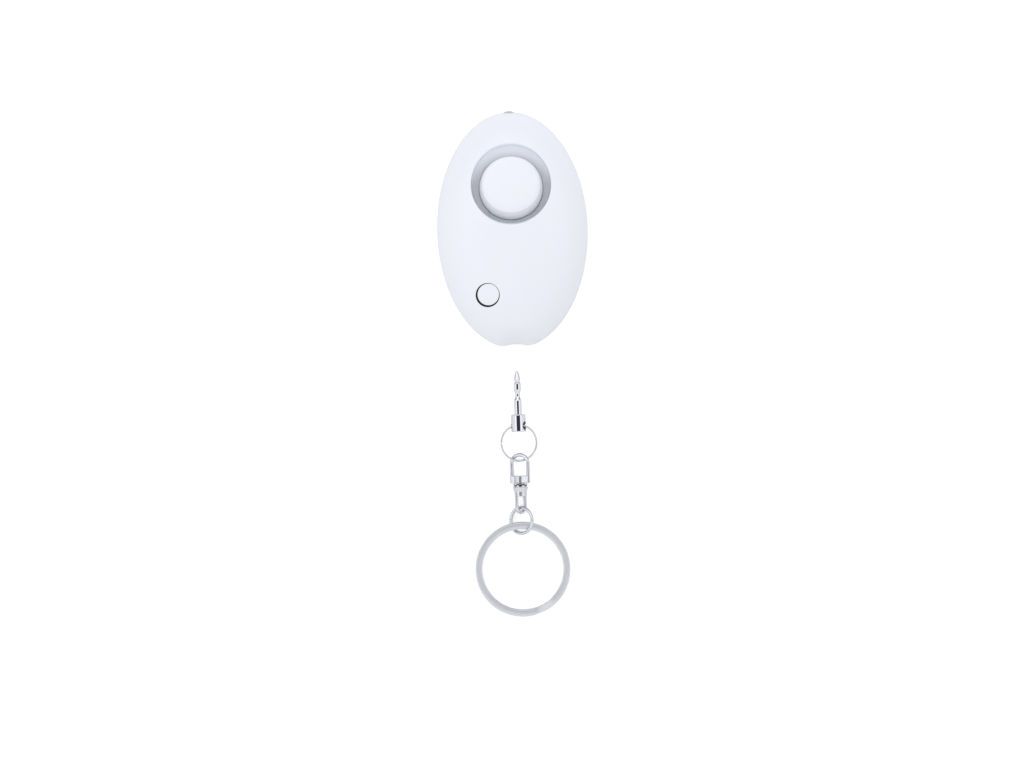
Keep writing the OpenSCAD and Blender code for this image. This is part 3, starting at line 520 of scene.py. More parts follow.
patch = {
    "divideY": -5.0, "upperCount": 198, "lowerCount": 220, "lineCount": 90, "rows": 44, "innerRows": 8,
    "crowding": 2.4, "bendRows": 5, "rimRows": 9,
}


# The rounding of a hole's rim towards a heading, which may widen towards the lamp end
def rimOf(spec, heading):
    return spec["rim"] + spec.get("rimMore", 0.0) * max(0.0, heading.y) ** 2


# The wall of a hole towards a heading, from the foot of its outer wall up to its rounded rim
def holeColumn(spec, heading):
    def at(radius, height, middle=spec["at"]):
        p = middle + heading * radius
        return p.x, p.y, height

    def top(radius):
        p = spec["at"] + heading * radius
        return domeHeight(p.x, p.y)

    r, rim = spec["radius"], rimOf(spec, heading)
    column = [at(spec["outer"], spec["bottom"])]
    if "floor" in spec:
        # The floor rises and the wall leans out towards the pin end.
        lean = max(0.0, -heading.y) ** 2
        floor, bend, edge = spec["floor"] + spec["floorMore"] * lean, spec["floorRound"], spec["slitBreak"]
        wall = r - spec["draft"] * lean
        column += [
            at(spec["slit"], spec["bottom"], discAt),
            at(spec["slit"], floor - edge, discAt),
            at(spec["slit"] + edge, floor, discAt),
        ]
        for s, c in quarterTurn(patch["bendRows"]):
            column.append(at(wall - bend + bend * s, floor + bend * (1 - c)))
    else:
        column.append(at(r, spec["bottom"]))
    foot, corner, head = Vector((r, top(r) - rim)), Vector((r, top(r))), Vector((r + rim, top(r + rim)))
    for i in range(patch["rimRows"]):
        t = i / patch["rimRows"]
        bend = (1 - t) ** 2 * foot + 2 * t * (1 - t) * corner + t * t * head
        column.append(at(bend.x, bend.y))
    return column


def shellPatch(spec, border):
    rows, innerRows, edge = patch["rows"], patch["innerRows"], case["seamBreak"]
    columns = []
    for outer, inner, onOutline in border:
        heading = (outer - spec["at"]).normalized()
        innerFoot = spec["at"] + (inner - spec["at"]).normalized() * spec["outer"]
        foot = spec["at"] + heading * (spec["radius"] + rimOf(spec, heading))
        column = []
        for k in range(innerRows + 1):
            p = inner.lerp(innerFoot, (k / innerRows) ** patch["crowding"])
            column.append((p.x, p.y, domeHeight(p.x, p.y, case["wall"])))
        column += holeColumn(spec, heading)
        for k in range(rows + 1):
            p = outer.lerp(foot, (1 - k / rows) ** patch["crowding"])
            column.append((p.x, p.y, domeHeight(p.x, p.y)))
        drawn = outer * (1 - edge / outer.length)
        if onOutline:
            column[0] = (inner.x, inner.y, case["seam"])
            column[-1] = (outer.x, outer.y, case["seam"] + edge)
        column.append((drawn.x, drawn.y, case["seam"]))
        columns.append(column)
    count, height = len(columns), len(columns[0])
    faces = gridFaces(height - 1, count)
    last = (height - 1) * count
    for j in range(count):
        n = (j + 1) % count
        if border[j][2] and border[n][2]:
            faces += [(last - count + j, last + j, last + n, last - count + n), (last + j, j, n, last + n)]
    return [p for row in zip(*columns) for p in row], faces


def patchBorder(fromTurn, toTurn, count):
    inset = case["wall"]
    border = []
    for i in range(count + 1):
        turn = fromTurn + (toTurn - fromTurn) * i / count
        border.append((Vector(outlinePoint(turn, 0, 0)), Vector(outlinePoint(turn, inset, inset)), True))
    first, last = border[-1], border[0]
    for i in range(1, patch["lineCount"]):
        t = 0.5 - 0.5 * cos(pi * i / patch["lineCount"])
        border.append((first[0].lerp(last[0], t), first[1].lerp(last[1], t), False))
    return border


# Marks how deep each point within reach of a place lies under the dome, for the shade that the finish
# paints there. The marks may be lower towards the lamp end, so that the painted shade is lighter where
# the lamp lights it.
def markShadeDepth(piece, at, reach, scale, most=10.0, lampShare=1.0, margin=0.01):
    marks = piece.data.attributes.get("depth") or piece.data.attributes.new("depth", "FLOAT", "POINT")
    for vertex, mark in zip(piece.data.vertices, marks.data):
        p = vertex.co / mm
        away = p.xy - at
        if away.length < reach + margin:
            share = 1 - (1 - lampShare) * max(0.0, away.normalized().y) ** 2
            mark.value = min(most, scale * share * max(0.0, domeHeight(p.x, p.y) - p.z))


divideTurn = asin(patch["divideY"] / case["halfLength"])
frontShell = makeObject("front_shell_moulding", joined(
    shellPatch(recess, patchBorder(divideTurn, pi - divideTurn, patch["upperCount"])),
    shellPatch(buttonHole, patchBorder(pi - divideTurn, 2 * pi + divideTurn, patch["lowerCount"])),
))

lampLow, lampHigh = boxOf("lamp")
lamp = {
    "radius": 1.5, "flange": (lampHigh.x - lampLow.x) / 2, "flangeLength": 1.0, "gap": 0.05, "sides": 64,
    "tipShort": 0.25, "edge": 1.0, "tipRows": 12, "flangeEdge": 0.1,
}
lampAxis = (lampLow.z + lampHigh.z) / 2
bushLow, bushHigh = boxOf("socket_bush")
socket = {"radius": (bushHigh.z - bushLow.z) / 2 + 0.05, "axis": (bushLow.z + bushHigh.z) / 2}


def socketCutter():
    start, end = frontLow.y - overrun["through"], bushHigh.y + overrun["through"]
    return rodCutter((0, start, socket["axis"]), (0, end, socket["axis"]), socket["radius"])


lampCutter = rodCutter(
    (0, lampLow.y, lampAxis), (0, lampHigh.y + overrun["through"], lampAxis), lamp["radius"] + lamp["gap"],
)
cutWith(frontShell, socketCutter(), lampCutter)
# Painted shade: the siren's groove is marked greyer where it lies deeper, less so towards the lamp end, and the
# button's hole is marked dark
markShadeDepth(frontShell, recess["at"], recess["radius"], 1, lampShare=recess["lampShare"])
markShadeDepth(frontShell, buttonHole["at"], buttonHole["radius"], buttonHole["darkening"])
settle(frontShell, "case", ["front_shell"], "shell")
print("scene: front shell made")

# Rear shell: a shallow tray with a rounded rim, cut for the battery door and the screws
rear = {"sides": 360, "rimRows": 14, "screwsDivideY": -10, "screwEdge": 0.08}
door = {
    "at": Vector((0, -7.4)), "halfX": 8.7, "halfY": 6.1, "corner": 1.5, "ledge": 0.7, "depth": 0.8,
    "tab": Vector((11.4, -7.4)), "tabRadius": 2.6, "tabSides": 48, "cornerRows": 8, "edge": 0.12,
}
bore = {"radius": 1.75, "depth": 1.0, "mouth": 0.2, "hole": 0.95, "top": 4, "sides": 48}


def outlineRing(inset, cutInset, z):
    return [(*outlinePoint(t, inset, cutInset), z) for t in fullTurn(rear["sides"])]


def rearSkin():
    wall, seam, edge = case["wall"], case["seam"], case["seamBreak"]
    rows = [
        outlineRing(wall, wall, case["back"]), outlineRing(wall, wall, seam),
        outlineRing(edge, edge, seam), outlineRing(0, 0, seam - edge),
    ]
    for s, c in quarterTurn(rear["rimRows"])[1:]:
        rows.append(outlineRing(case["backRound"] * (1 - c), 0, seam * (1 - s)))
    return closedSkin(rows)


def prism(outline, low, high):
    return closedSkin([[(x, y, z) for x, y in outline] for z in (low, high)])


def doorOutline(grow):
    return roundedRectangle(
        door["at"], door["halfX"] + grow, door["halfY"] + grow, door["corner"], door["cornerRows"],
    )


def boreCutter(place):
    r, depth, mouth = bore["radius"], bore["depth"], bore["mouth"]
    profile = [
        (-overrun["face"], r + mouth), (0, r + mouth), (mouth, r), (depth, r), (depth, bore["hole"]),
        (bore["top"], bore["hole"]),
    ]
    turns = fullTurn(bore["sides"])
    rows = [[(place.x + q * cos(t), place.y + q * sin(t), z) for t in turns] for z, q in profile]
    return makeObject("cutter", closedSkin(rows))


# The middle of each screw, found from the heads in the CAD node
def screwPlaces():
    groups = {}
    for vertex in frame["nodes"]["case_screws"].data.vertices:
        p = vertex.co / mm
        groups.setdefault((p.x > 0, p.y > rear["screwsDivideY"]), []).append(p)
    places = []
    for points in groups.values():
        xs, ys = [p.x for p in points], [p.y for p in points]
        places.append(Vector(((min(xs) + max(xs)) / 2, (min(ys) + max(ys)) / 2)))
    return places


rearShell = makeObject("rear_shell_moulding", rearSkin())
tabOutline = [
    (door["tab"].x + door["tabRadius"] * cos(t), door["tab"].y + door["tabRadius"] * sin(t))
    for t in fullTurn(door["tabSides"])
]
cutWith(
    rearShell,
    makeObject("cutter", prism(doorOutline(door["ledge"]), -overrun["face"], door["depth"])),
    makeObject("cutter", prism(tabOutline, -overrun["face"], door["depth"])),
    makeObject("cutter", prism(doorOutline(0), -overrun["face"], case["back"] + overrun["face"])),
    socketCutter(),
    *[boreCutter(place) for place in screwPlaces()],
)
settle(rearShell, "case", ["rear_shell"], "shell")

doorPiece = brokenEdgeCopy("battery_door", "battery_door_moulding", door["edge"])
settle(doorPiece, "case", ["battery_door"], "shell")
for node in ("case_screws", "door_screw"):
    settle(brokenEdgeCopy(node, node + "_turned", rear["screwEdge"]), "case", [node], "screw_steel")
print("scene: back made")


# A round cap that follows the dome: a skirt, a rounded edge, which may widen towards the pin end,
# and a crown
def capSkin(at, spec, crownShare=0.995):
    turns = fullTurn(spec["sides"])
    r = spec["radius"]

    def ring(inset, drop, share):
        row = []
        for t in turns:
            edge = spec["edge"] - spec.get("edgeMore", 0.0) * sin(t)
            radius = share * (r - inset * edge)
            x, y = at.x + radius * cos(t), at.y + radius * sin(t)
            row.append((x, y, domeHeight(x, y) - spec["sink"] - drop * edge))
        return row

    def level(radius, z):
        return [(at.x + radius * cos(t), at.y + radius * sin(t), z) for t in turns]

    rows = [level(q, z) for q, z in spec["skirt"]]
    for s, c in quarterTurn(spec["edgeRows"]):
        rows.append(ring(1 - c, 1 - s, 1))
    for i in range(1, spec["crownRows"] + 1):
        rows.append(ring(1, 0, 1 - crownShare * i / spec["crownRows"]))
    return closedSkin(rows)


# Siren disc
disc["skirt"] = [(disc["radius"], discLow.z)]
sirenDisc = makeObject("siren_disc_moulding", capSkin(discAt, disc))
# Painted shade: the disc's rounded edge is marked greyer as it drops, most towards the pin end
markShadeDepth(sirenDisc, discAt, disc["radius"], disc["darkening"], disc["darkest"])
settle(sirenDisc, "case", ["siren_disc"], "shell", sharpAngle=60)

# Light button
buttonLow, buttonHigh = boxOf("light_button")
buttonAt = Vector(((buttonLow.x + buttonHigh.x) / 2, (buttonLow.y + buttonHigh.y) / 2))
flange = (buttonHigh.x - buttonLow.x) / 2
button = {
    "radius": 2.86, "edge": 0.3, "sink": 0.1, "sides": 96, "edgeRows": 8, "crownRows": 10, "flangeTop": 0.7,
    "play": 0.06,
}
button["skirt"] = [
    (flange, buttonLow.z), (flange, buttonLow.z + button["flangeTop"]),
    (button["radius"], buttonLow.z + button["flangeTop"]),
]
buttonAt += Vector((button["play"], button["play"]))
lightButton = makeObject("light_button_moulding", capSkin(buttonAt, button))
# Painted shade: the button's skirt is marked dark down in the gap round it
markShadeDepth(lightButton, buttonAt, flange, buttonHole["darkening"])
settle(lightButton, "light_button", ["light_button"], "shell", sharpAngle=50)

# Lamp: a cast body with a flange and a round end that is flat in the middle
flangeEnd = lampLow.y + lamp["flangeLength"]
flangeFace = lamp["flange"] - lamp["flangeEdge"]
lampProfile = [
    (lampLow.y, flangeFace), (lampLow.y + lamp["flangeEdge"], lamp["flange"]),
    (flangeEnd - lamp["flangeEdge"], lamp["flange"]), (flangeEnd, flangeFace), (flangeEnd, lamp["radius"]),
]
for s, c in quarterTurn(lamp["tipRows"]):
    lampProfile.append((
        lampHigh.y - lamp["tipShort"] - lamp["edge"] * (1 - s), lamp["radius"] - lamp["edge"] * (1 - c),
    ))
lampPiece = makeObject(
    "lamp_body", closedSkin(turnedRows(lampProfile, lamp["sides"])),
    Matrix.Translation((0, 0, lampAxis * mm)),
)
settle(lampPiece, "case", ["lamp"], "lamp_epoxy", sharpAngle=40)
print("scene: siren disc, button and lamp made")

# Pull pin: turned, with a pointed head and two bulges, by distances from the point. The head is
# straight from station to station, and the rest runs smoothly.
pinLow, pinHigh = boxOf("pull_pin")
pinAxis = (pinLow.z + pinHigh.z) / 2
pin = {
    "head": [(0, 0.02), (0.04, 0.16), (0.12, 0.25), (1.1, 0.66), (2.45, 0.84)],
    "stations": [
        (2.9, 0.66), (3.5, 0.95), (5, 0.95), (6.2, 0.65), (6.8, 0.65), (8, 1.0), (8.6, 1.0),
        (pinHigh.y - pinLow.y, 0.92),
    ],
    "steps": 10, "sides": 72,
}
pinProfile = list(pin["head"])
for (startAt, startRadius), (endAt, endRadius) in zip(pin["stations"], pin["stations"][1:]):
    for i in range(pin["steps"]):
        t = i / pin["steps"]
        pinProfile.append((
            startAt + (endAt - startAt) * t,
            startRadius + (endRadius - startRadius) * (0.5 - 0.5 * cos(pi * t)),
        ))
pinProfile.append(pin["stations"][-1])
pullPin = makeObject(
    "pull_pin_turned", closedSkin(turnedRows([(-y, r) for y, r in pinProfile], pin["sides"])),
    Matrix.Translation((0, pinHigh.y * mm, pinAxis * mm)),
)
settle(pullPin, "pin", ["pull_pin"], "pin_chrome", sharpAngle=24)

# Ferrule: a turned sleeve with a cross hole for the link ring
ferruleLow, ferruleHigh = boxOf("pin_ferrule")
ferrule = {
    "radius": (ferruleHigh.x - ferruleLow.x) / 2, "edge": 0.22, "hole": 0.595,
    "skin": 0.06, "mouth": 1.15, "mouthDepth": 1.0, "mouthRise": radians(28), "bore": 0.95, "boreDepth": 1.2,
    "mouthTip": 0.05, "edgeRows": 6, "sides": 96, "holeSides": 40, "boreSides": 48,
}
holeAt, holeAxis = jointPlace("ring_swing"), jointAxis("ring_swing")
ferruleProfile = [
    (ferruleLow.y + ferrule["edge"] * (1 - c), ferrule["radius"] - ferrule["edge"] * (1 - s))
    for s, c in quarterTurn(ferrule["edgeRows"])
]
ferruleProfile.append((ferruleProfile[-1][0] + support, ferrule["radius"]))
ferruleProfile += [(ferruleLow.y + ferruleHigh.y - y, r) for y, r in reversed(ferruleProfile)]
ferrulePiece = makeObject(
    "pin_ferrule_turned", closedSkin(turnedRows(ferruleProfile, ferrule["sides"])),
    Matrix.Translation((0, 0, pinAxis * mm)),
)
# The hole's mouth is flared and worn upwards where the ring pulls on it.
mouthAxis = Vector((cos(ferrule["mouthRise"]), 0, sin(ferrule["mouthRise"])))
mouthFoot = ferrule["radius"] - ferrule["mouthDepth"]
mouthProfile = [
    (mouthFoot, ferrule["mouthTip"]), (mouthFoot + 2 * ferrule["mouthDepth"], 2 * ferrule["mouth"]),
]
mouthPlace = Matrix.Translation(holeAt * mm) @ mouthAxis.to_track_quat("Y", "Z").to_matrix().to_4x4()
boreFoot, boreEnd = ferruleHigh.y - ferrule["boreDepth"], ferruleHigh.y + overrun["face"]
holeReach = overrun["through"] * holeAxis
cutWith(
    ferrulePiece,
    rodCutter(holeAt - holeReach, holeAt + holeReach, ferrule["hole"], ferrule["holeSides"]),
    makeObject("cutter", closedSkin(turnedRows(mouthProfile, ferrule["boreSides"])), mouthPlace),
    rodCutter((0, boreFoot, pinAxis), (0, boreEnd, pinAxis), ferrule["bore"], ferrule["boreSides"]),
)


# Under the ferrule's outside and near its cross hole
def inCrossHole(p):
    inside = hypot(p.x, p.z - pinAxis) < ferrule["radius"] - ferrule["skin"]
    return inside and abs(p.y - holeAt.y) < 2 * ferrule["hole"]


# Painted shade: dark inside the cross hole
markPaintedShade(ferrulePiece, inCrossHole)
settle(ferrulePiece, "pin", ["pin_ferrule"], "pin_chrome", sharpAngle=40)
print("scene: pin made")


# A ring of round wire with a small split, lying in its own XY plane
def splitRing(radius, wire, split, splitAt, steps=160, sides=28):
    half = split / 2 / radius
    path = arcPath((0, 0, 0), radius, splitAt + half, splitAt + 2 * pi - half, steps)
    return closedSkin(wireRows(path, wire / 2, sides))


# Link ring
linkRing = {"radius": 4.71, "wire": 0.58, "split": 0.12}
ringNormal, ringAt = jointAxis("shackle_slide"), jointPlace("shackle_slide")
ringUp = (holeAt - ringAt).normalized()
ringPiece = makeObject(
    "link_ring_wire", splitRing(linkRing["radius"], linkRing["wire"], linkRing["split"], pi),
    axesMatrix(ringUp.cross(ringNormal), ringUp, ringNormal, ringAt),
)
settle(ringPiece, "link_ring", ["link_ring"], "wire_nickel", sharpAngle=50)


def alongChain(distance):
    return Vector((0, distance, 0))


# Axes of a piece on the chain, from its X axis or its roll about the chain's length
def chainAxes(x, origin):
    return axesMatrix(x, alongChain(1), x.cross(alongChain(1)), origin)


def rolledAxes(roll, origin):
    return chainAxes(Vector((cos(roll), 0, sin(roll))), origin)


# Swivel shackle: a bent wire bow with a cast cross piece that holds the post
swivelAt = jointPlace("swivel_turn")
shackleHigh = boxOf("swivel_shackle")[1]
shackle = {
    "bow": 2.35, "wire": 1.0, "roll": radians(24), "bridge": 1.95, "boss": 1.45, "edge": 0.16,
    "post": 0.61, "headSeat": 1.11, "seatDepth": 0.66, "bossBlend": 0.3, "edgeRows": 4, "bowSteps": 48,
    "postSides": 40, "seatSides": 48,
}
bowLength = shackleHigh.y - swivelAt.y - shackle["bow"] - shackle["wire"] / 2


# A wire bent into a U, with its bow up the chain (way 1) or down it (way -1)
def bowSkin(radius, wire, legs, way, steps, sides=28):
    path = [(Vector((radius, 0, 0)), alongChain(way))]
    path += arcPath(alongChain(way * legs), radius, 0, way * pi, steps)
    path.append((Vector((-radius, 0, 0)), alongChain(-way)))
    return closedSkin(wireRows(path, wire / 2, sides))


# Half the thickness of the cross piece at x: the boss blended into the bar and its round ends
def bridgeHalf(x, shrink):
    bow, half, boss = shackle["bow"], shackle["wire"] / 2 - shrink, shackle["boss"] - shrink
    bar = half if abs(x) < bow else sqrt(max(0.0, half * half - (abs(x) - bow) ** 2))
    swell = sqrt(max(0.0, boss * boss - x * x))
    return -softMin(-bar, -swell, shackle["bossBlend"])


def bridgeRow(y, shrink, steps=40):
    reach = shackle["bow"] + shackle["wire"] / 2 - shrink
    xs = [reach * cos(pi * i / steps) for i in range(steps + 1)]
    top = [(x, y, bridgeHalf(x, shrink)) for x in xs]
    return top + [(x, y, -bridgeHalf(x, shrink)) for x in reversed(xs[1:-1])]


# The cross piece from its foot to its top, with both edges rounded
def bridgeSkin():
    edge, top = shackle["edge"], shackle["bridge"]
    rounding = [(edge * (1 - s), edge * (1 - c)) for s, c in quarterTurn(shackle["edgeRows"])]
    rows = [bridgeRow(y, shrink) for y, shrink in reversed(rounding)]
    rows += [bridgeRow(y, 0) for y in (edge + support, top - edge - support)]
    rows += [bridgeRow(top - y, shrink) for y, shrink in rounding]
    return closedSkin(rows)


shackleFrame = rolledAxes(shackle["roll"], swivelAt)
bridgePiece = makeObject("shackle_bridge", bridgeSkin(), shackleFrame)
bridgeTop = swivelAt + alongChain(shackle["bridge"])
cutWith(
    bridgePiece,
    rodCutter(
        swivelAt - alongChain(overrun["bridge"]), swivelAt + alongChain(overrun["through"]),
        shackle["post"], shackle["postSides"],
    ),
    rodCutter(
        bridgeTop - alongChain(shackle["seatDepth"]), bridgeTop + alongChain(overrun["face"]),
        shackle["headSeat"], shackle["seatSides"],
    ),
)
settle(bridgePiece, "shackle", ["swivel_shackle"], "wire_nickel", sharpAngle=40)
bowPiece = makeObject(
    "shackle_bow",
    bowSkin(shackle["bow"], shackle["wire"], bowLength - shackle["edge"], 1, shackle["bowSteps"]),
    shackleFrame @ Matrix.Translation((0, shackle["edge"] * mm, 0)),
)
settle(bowPiece, "shackle", ["swivel_shackle"], "wire_nickel", sharpAngle=50)

# Swivel post: a rivet with a low domed head, sunk in the cross piece
postLow, postHigh = boxOf("swivel_post")
post = {
    "radius": 0.55, "head": 1.05, "headHeight": 0.6, "dome": 0.3, "edge": 0.06, "sides": 48, "domeRows": 9,
    "tip": 0.02,
}
headFoot = postHigh.y - post["headHeight"]
postProfile = [
    (postLow.y, post["radius"]), (headFoot, post["radius"]),
    (headFoot, post["head"] - post["edge"]), (headFoot + post["edge"], post["head"]),
]
for s, c in quarterTurn(post["domeRows"]):
    postProfile.append((postHigh.y - post["dome"] * (1 - s), post["head"] * max(post["tip"], c)))
postPiece = makeObject(
    "swivel_post_rivet", closedSkin(turnedRows(postProfile, post["sides"])),
    Matrix.Translation((0, 0, swivelAt.z * mm)),
)
settle(postPiece, "swivel", ["swivel_post"], "wire_nickel", sharpAngle=40)

# Swivel loop: a turned head that carries a wire eye
loopLow, loopHigh = boxOf("swivel_loop")
loop = {
    "head": 1.95, "foot": 1.6, "headLength": 2.9, "eye": 1.45, "wire": 0.9, "roll": radians(-40), "edge": 0.2,
    "taper": 0.6, "edgeRows": 5, "taperRows": 12, "sides": 64, "eyeSteps": 40, "eyeSink": 1,
    "lip": 0.35, "collarInner": 1.2, "collarOuter": 1.75, "collarTop": 0.5,
    "crimps": 7, "crimpAt": 0.07, "crimpSwing": 0.24, "crimpHalf": 0.17, "crimpDepth": 0.28,
    "darkFrom": 0.1, "darkReach": 0.4,
}


# Profile of the head, from its lip down to its foot
def headProfile():
    head, foot, edge, length = loop["head"], loop["foot"], loop["edge"], loop["headLength"]
    rounding = quarterTurn(loop["edgeRows"])
    top = loop["lip"] + edge
    profile = [(-loop["lip"] - edge * (1 - c), head - edge * (1 - s)) for s, c in rounding]
    for i in range(1, loop["taperRows"] + 1):
        t = i / loop["taperRows"]
        profile.append((
            -top - (length * loop["taper"] - top) * t, head + (foot - head) * smoothStep(0, 1, t),
        ))
    profile += [(profile[-1][0] - support, foot), (-length + edge + support, foot)]
    return profile + [(-length + edge * (1 - s), foot - edge * (1 - c)) for s, c in rounding]


# The collar that closes the head round the post, with a zigzag groove from the crimping tool
def collarSkin(steps=168):
    foot, top = -loop["lip"] - loop["edge"], loop["collarTop"]
    inner, outer = loop["collarInner"], loop["collarOuter"]
    columns = []
    for i in range(steps):
        t = 2 * pi * i / steps
        wave = abs((i * loop["crimps"] / steps) % 1 - 0.5) * 4 - 1
        crimp = loop["crimpAt"] + loop["crimpSwing"] * wave
        corners = [
            (inner, foot), (inner, top), (outer, top), (outer, crimp + loop["crimpHalf"]),
            (outer - loop["crimpDepth"], crimp), (outer, crimp - loop["crimpHalf"]), (outer, foot),
            (inner, foot),
        ]
        columns.append([(r * cos(t), y, r * sin(t)) for r, y in corners])
    return [p for row in zip(*columns) for p in row], gridFaces(len(columns[0]), steps)


# The groove in the collar, and the collar's top
def inCrimp(p):
    away = hypot(p.x, p.z - swivelAt.z)
    within = loop["collarOuter"] - loop["crimpDepth"] / 4
    return loop["collarInner"] + loop["darkFrom"] < away < within and p.y > loopHigh.y - loop["darkReach"]


loopFrame = rolledAxes(loop["roll"], Vector((0, loopHigh.y, swivelAt.z)))
headPiece = makeObject(
    "swivel_loop_head", joined(closedSkin(turnedRows(headProfile(), loop["sides"])), collarSkin()), loopFrame,
)
# Painted shade: dark in the collar's crimped groove and on its top
markPaintedShade(headPiece, inCrimp)
settle(headPiece, "swivel", ["swivel_loop"], "wire_nickel", sharpAngle=40)
# The eye's legs are sunk in the head.
eyeFoot = loop["eyeSink"] - loop["headLength"]
eyeLegs = loopHigh.y - loopLow.y - loop["eye"] - loop["wire"] / 2 - loop["headLength"] + loop["eyeSink"]
eyePiece = makeObject(
    "swivel_loop_eye", bowSkin(loop["eye"], loop["wire"], eyeLegs, -1, loop["eyeSteps"]),
    loopFrame @ Matrix.Translation((0, eyeFoot * mm, 0)),
)
settle(eyePiece, "swivel", ["swivel_loop"], "wire_nickel", sharpAngle=50)

# Jump ring
jumpRing = {"radius": 3.4, "wire": 0.9, "split": 0.12}
jumpX = jointAxis("jump_ring_swing")
jumpAt = jointPlace("jump_ring_swing") - alongChain(jumpRing["radius"])
jumpPiece = makeObject(
    "jump_ring_wire", splitRing(jumpRing["radius"], jumpRing["wire"], jumpRing["split"], pi),
    chainAxes(jumpX, jumpAt),
)
settle(jumpPiece, "jump_ring", ["jump_ring"], "wire_nickel", sharpAngle=50)
print("scene: chain made")

# Key ring: one flat strip wound twice, with rounded edges
keyRing = {
    "radius": 12.5, "band": 1.8, "turn": 0.7, "gap": 0.08, "edge": 0.3, "step": radians(30),
    "stepAt": radians(300), "turnRows": 200, "stepRows": 24, "cornerRows": 5, "lowerShift": 0.06,
}
keyAt, keyNormal = jointPlace("key_ring_turn"), jointAxis("key_ring_turn")


def stripSection():
    half = keyRing["band"] / 2
    middle = (keyRing["radius"] - half, 0)
    return roundedRectangle(middle, half, keyRing["turn"] / 2, keyRing["edge"], keyRing["cornerRows"])


# The lower turn sits a little out of line, as on a sprung ring
def stripRow(turn, z):
    t = turn + keyRing["stepAt"]
    shift = keyRing["lowerShift"] * (0.5 - z / (keyRing["turn"] + keyRing["gap"]))
    return [(r * cos(t), r * sin(t) + shift, z + h) for r, h in stripSection()]


def keyRingSkin():
    rise, step = keyRing["turn"] + keyRing["gap"], keyRing["step"]
    rows = []
    for z in (-rise / 2, rise / 2):
        for i in range(keyRing["turnRows"] + 1):
            rows.append(stripRow(step / 2 + (2 * pi - step) * i / keyRing["turnRows"], z))
        if z < 0:
            for i in range(1, keyRing["stepRows"]):
                t = i / keyRing["stepRows"]
                rows.append(stripRow(step * (t - 0.5), -rise / 2 * cos(pi * t)))
    return closedSkin(rows)


keyX = Vector((1, 0, 0))
keyPiece = makeObject("key_ring_strip", keyRingSkin())
keyPiece.matrix_world = axesMatrix(keyX, keyNormal.cross(keyX), keyNormal, keyAt)
settle(keyPiece, "key_ring", ["key_ring"], "ring_nickel", sharpAngle=40)
print("scene: key ring made")

# CAD nodes that are shown as they are take the finish of their slot
for subpart in frame["record"]["subparts"]:
    mesh = frame["nodes"][subpart["node"]].data
    mesh.materials.clear()
    mesh.materials.append(finishes[subpart["material_slot"]])

# Camera: straight above, turned a little so that the case leans to the left
view = {
    "lean": radians(-1.8), "height": 2002.5, "lens": 266.6, "caseRight": 0.1, "caseUp": 40.53, "nearest": 10,
}
right = Vector((cos(view["lean"]), sin(view["lean"]), 0))
up = Vector((-sin(view["lean"]), cos(view["lean"]), 0))
cameraData = bpy.data.cameras.new("camera")
cameraData.lens = view["lens"]
cameraData.clip_start = view["nearest"] * mm
camera = bpy.data.objects.new("camera", cameraData)
camera.location = (Vector((0, 0, view["height"])) - view["caseRight"] * right - view["caseUp"] * up) * mm
camera.rotation_euler = (0, 0, view["lean"])
scene.collection.objects.link(camera)
scene.camera = camera
scene.view_settings.view_transform = "Standard"

# Light: an even white tent with a soft lamp to the upper left
light = {
    "tent": 0.965, "lampPower": 0.2, "lampAt": (-40, 300, 450), "lampSize": 400,
    "bar": [("awayX", 34, 24), ("awayY", 7, 4)], "dusk": [("Y", 52, 64)],
    "gleam": [("awayX", 31, 36), ("awayX", 51, 46), ("awayY", 30, 20)], "gleamPower": 0.4,
    "flag": [("X", 0, 40), ("Y", -35, -65)], "flagShare": 0.45,
}
lampData = bpy.data.lights.new("soft box", "AREA")
lampData.energy = light["lampPower"]
lampData.size = light["lampSize"] * mm
softBox = bpy.data.objects.new("soft box", lampData)
softBox.location = Vector(light["lampAt"]) * mm
aim = Vector((0, -view["caseUp"], 0)) * mm - softBox.location
softBox.rotation_euler = aim.to_track_quat("-Z", "Y").to_euler()
scene.collection.objects.link(softBox)

# The tent is white to the eye and in reflections. Metal also sees a dark bar straight above it,
# which gives round pieces their dark stripe, bright strips on both sides of it, and the dark of
# the room low beyond the lamp end. For diffuse light the tent is a little dimmer, and a flag dims it
# more, low on the right beyond the pin end.
world = bpy.data.worlds.new("tent")
scene.world = world
world.use_nodes = True
tree = world.node_tree
tree.nodes.clear()
heading = addNode(tree, "ShaderNodeTexCoord").outputs["Generated"]
parts = addNode(tree, "ShaderNodeSeparateXYZ", links={"Vector": heading}).outputs
path = addNode(tree, "ShaderNodeLightPath").outputs
slopes = {}
for axis in "XY":
    slopes[axis] = mathNode(tree, "DIVIDE", {0: parts[axis], 1: parts["Z"]})
    slopes["away" + axis] = mathNode(tree, "ABSOLUTE", {0: slopes[axis]})


# How much of a kind of ray lies within limits, each a slope with the angles of no share and full share
def shareWithin(limits, share):
    for slope, none, full in limits:
        inside = addNode(
            tree, "ShaderNodeMapRange", settings={"interpolation_type": "SMOOTHSTEP"},
            values={"From Min": tan(radians(none)), "From Max": tan(radians(full))},
            links={"Value": slopes[slope]},
        ).outputs["Result"]
        share = mathNode(tree, "MULTIPLY", {0: share, 1: inside})
    return share


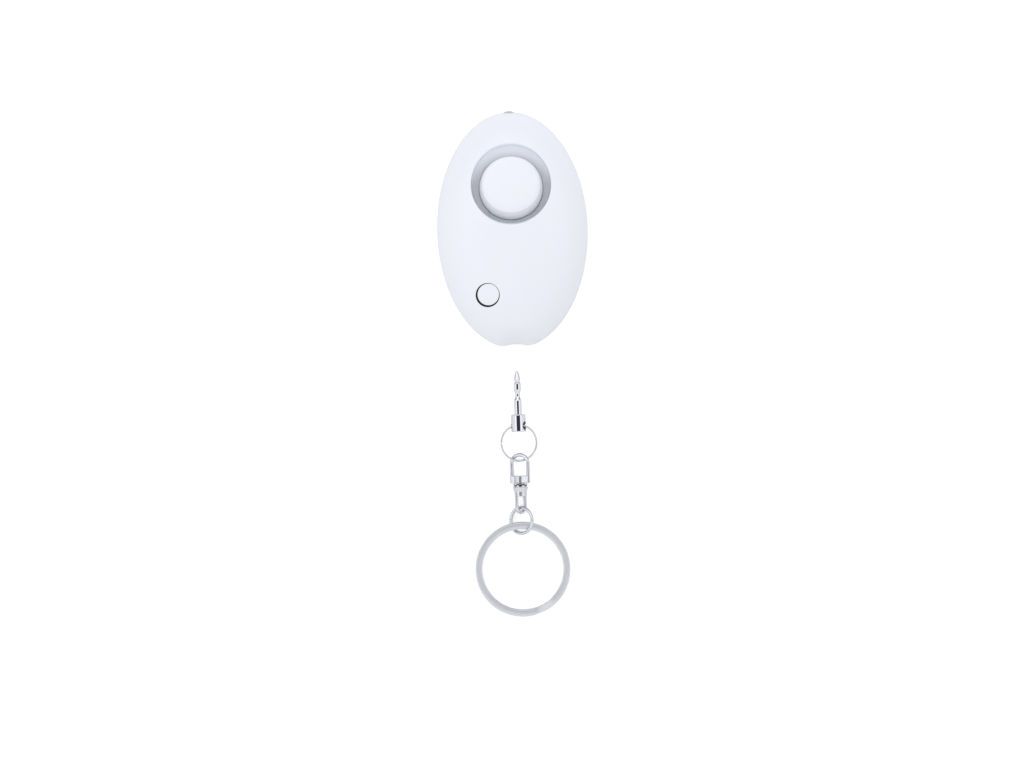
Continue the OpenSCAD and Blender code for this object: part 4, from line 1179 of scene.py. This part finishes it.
mirrored = path["Is Glossy Ray"]
dark = mathNode(
    tree, "MAXIMUM", {0: shareWithin(light["bar"], mirrored), 1: shareWithin(light["dusk"], mirrored)},
)
tentColour = addNode(
    tree, "ShaderNodeMix", settings={"data_type": "RGBA"},
    values={6: colour("#FFFFFF"), 7: colour("#3A3A40")}, links={0: dark},
).outputs[2]
seen = path["Is Camera Ray"]
for ray in ("Is Glossy Ray", "Is Transmission Ray"):
    seen = mathNode(tree, "MAXIMUM", {0: seen, 1: path[ray]})
level = addNode(
    tree, "ShaderNodeMapRange", values={"To Min": light["tent"], "To Max": 1.0}, links={"Value": seen},
).outputs["Result"]
gleam = shareWithin(light["gleam"], mirrored)
level = mathNode(tree, "MULTIPLY_ADD", {0: gleam, 2: level}, {1: light["gleamPower"]})
unseen = mathNode(tree, "SUBTRACT", {1: seen}, {0: 1.0})
flagged = shareWithin(light["flag"], unseen)
level = mathNode(tree, "MULTIPLY_ADD", {0: flagged, 2: level}, {1: -light["flagShare"]})
background = addNode(tree, "ShaderNodeBackground", links={"Color": tentColour, "Strength": level})
addNode(tree, "ShaderNodeOutputWorld", links={"Surface": background.outputs["Background"]})

# Floor: white paper that keeps the shadow. It is clear from below, and open under the flat of the
# case so that light reaches the back.
ground = {"reach": 2000, "open": case["backRound"] + 0.3, "level": cadBounds[0][2] / mm, "glow": 0.4}
opening = outlineRing(ground["open"], ground["open"], ground["level"])
paperEdge = [Vector((x, y, 0)).normalized() * ground["reach"] for x, y, z in opening]
floorMesh = bpy.data.meshes.new("floor")
floorMesh.from_pydata(
    [Vector(p) * mm for p in opening] + [Vector((p.x, p.y, ground["level"])) * mm for p in paperEdge],
    [], gridFaces(2, len(opening)),
)
floor = bpy.data.objects.new("floor", floorMesh)
scene.collection.objects.link(floor)
paper = bpy.data.materials.new("white paper")
paper.use_nodes = True
tree = paper.node_tree
tree.nodes.clear()
path = addNode(tree, "ShaderNodeLightPath").outputs
glow = mathNode(tree, "MULTIPLY", {0: path["Is Camera Ray"]}, {1: ground["glow"]})
shine = addNode(tree, "ShaderNodeEmission", links={"Strength": glow})
matt = addNode(tree, "ShaderNodeBsdfDiffuse", values={"Color": colour("#F4F4F4")})
top = addNode(tree, "ShaderNodeAddShader", links={0: shine.outputs[0], 1: matt.outputs[0]})
side = addNode(tree, "ShaderNodeNewGeometry")
clear = addNode(tree, "ShaderNodeBsdfTransparent")
sheet = addNode(
    tree, "ShaderNodeMixShader",
    links={0: side.outputs["Backfacing"], 1: top.outputs[0], 2: clear.outputs[0]},
)
addNode(tree, "ShaderNodeOutputMaterial", links={"Surface": sheet.outputs[0]})
floorMesh.materials.append(paper)
print("scene: camera, light and floor made")

bpy.context.view_layer.update()
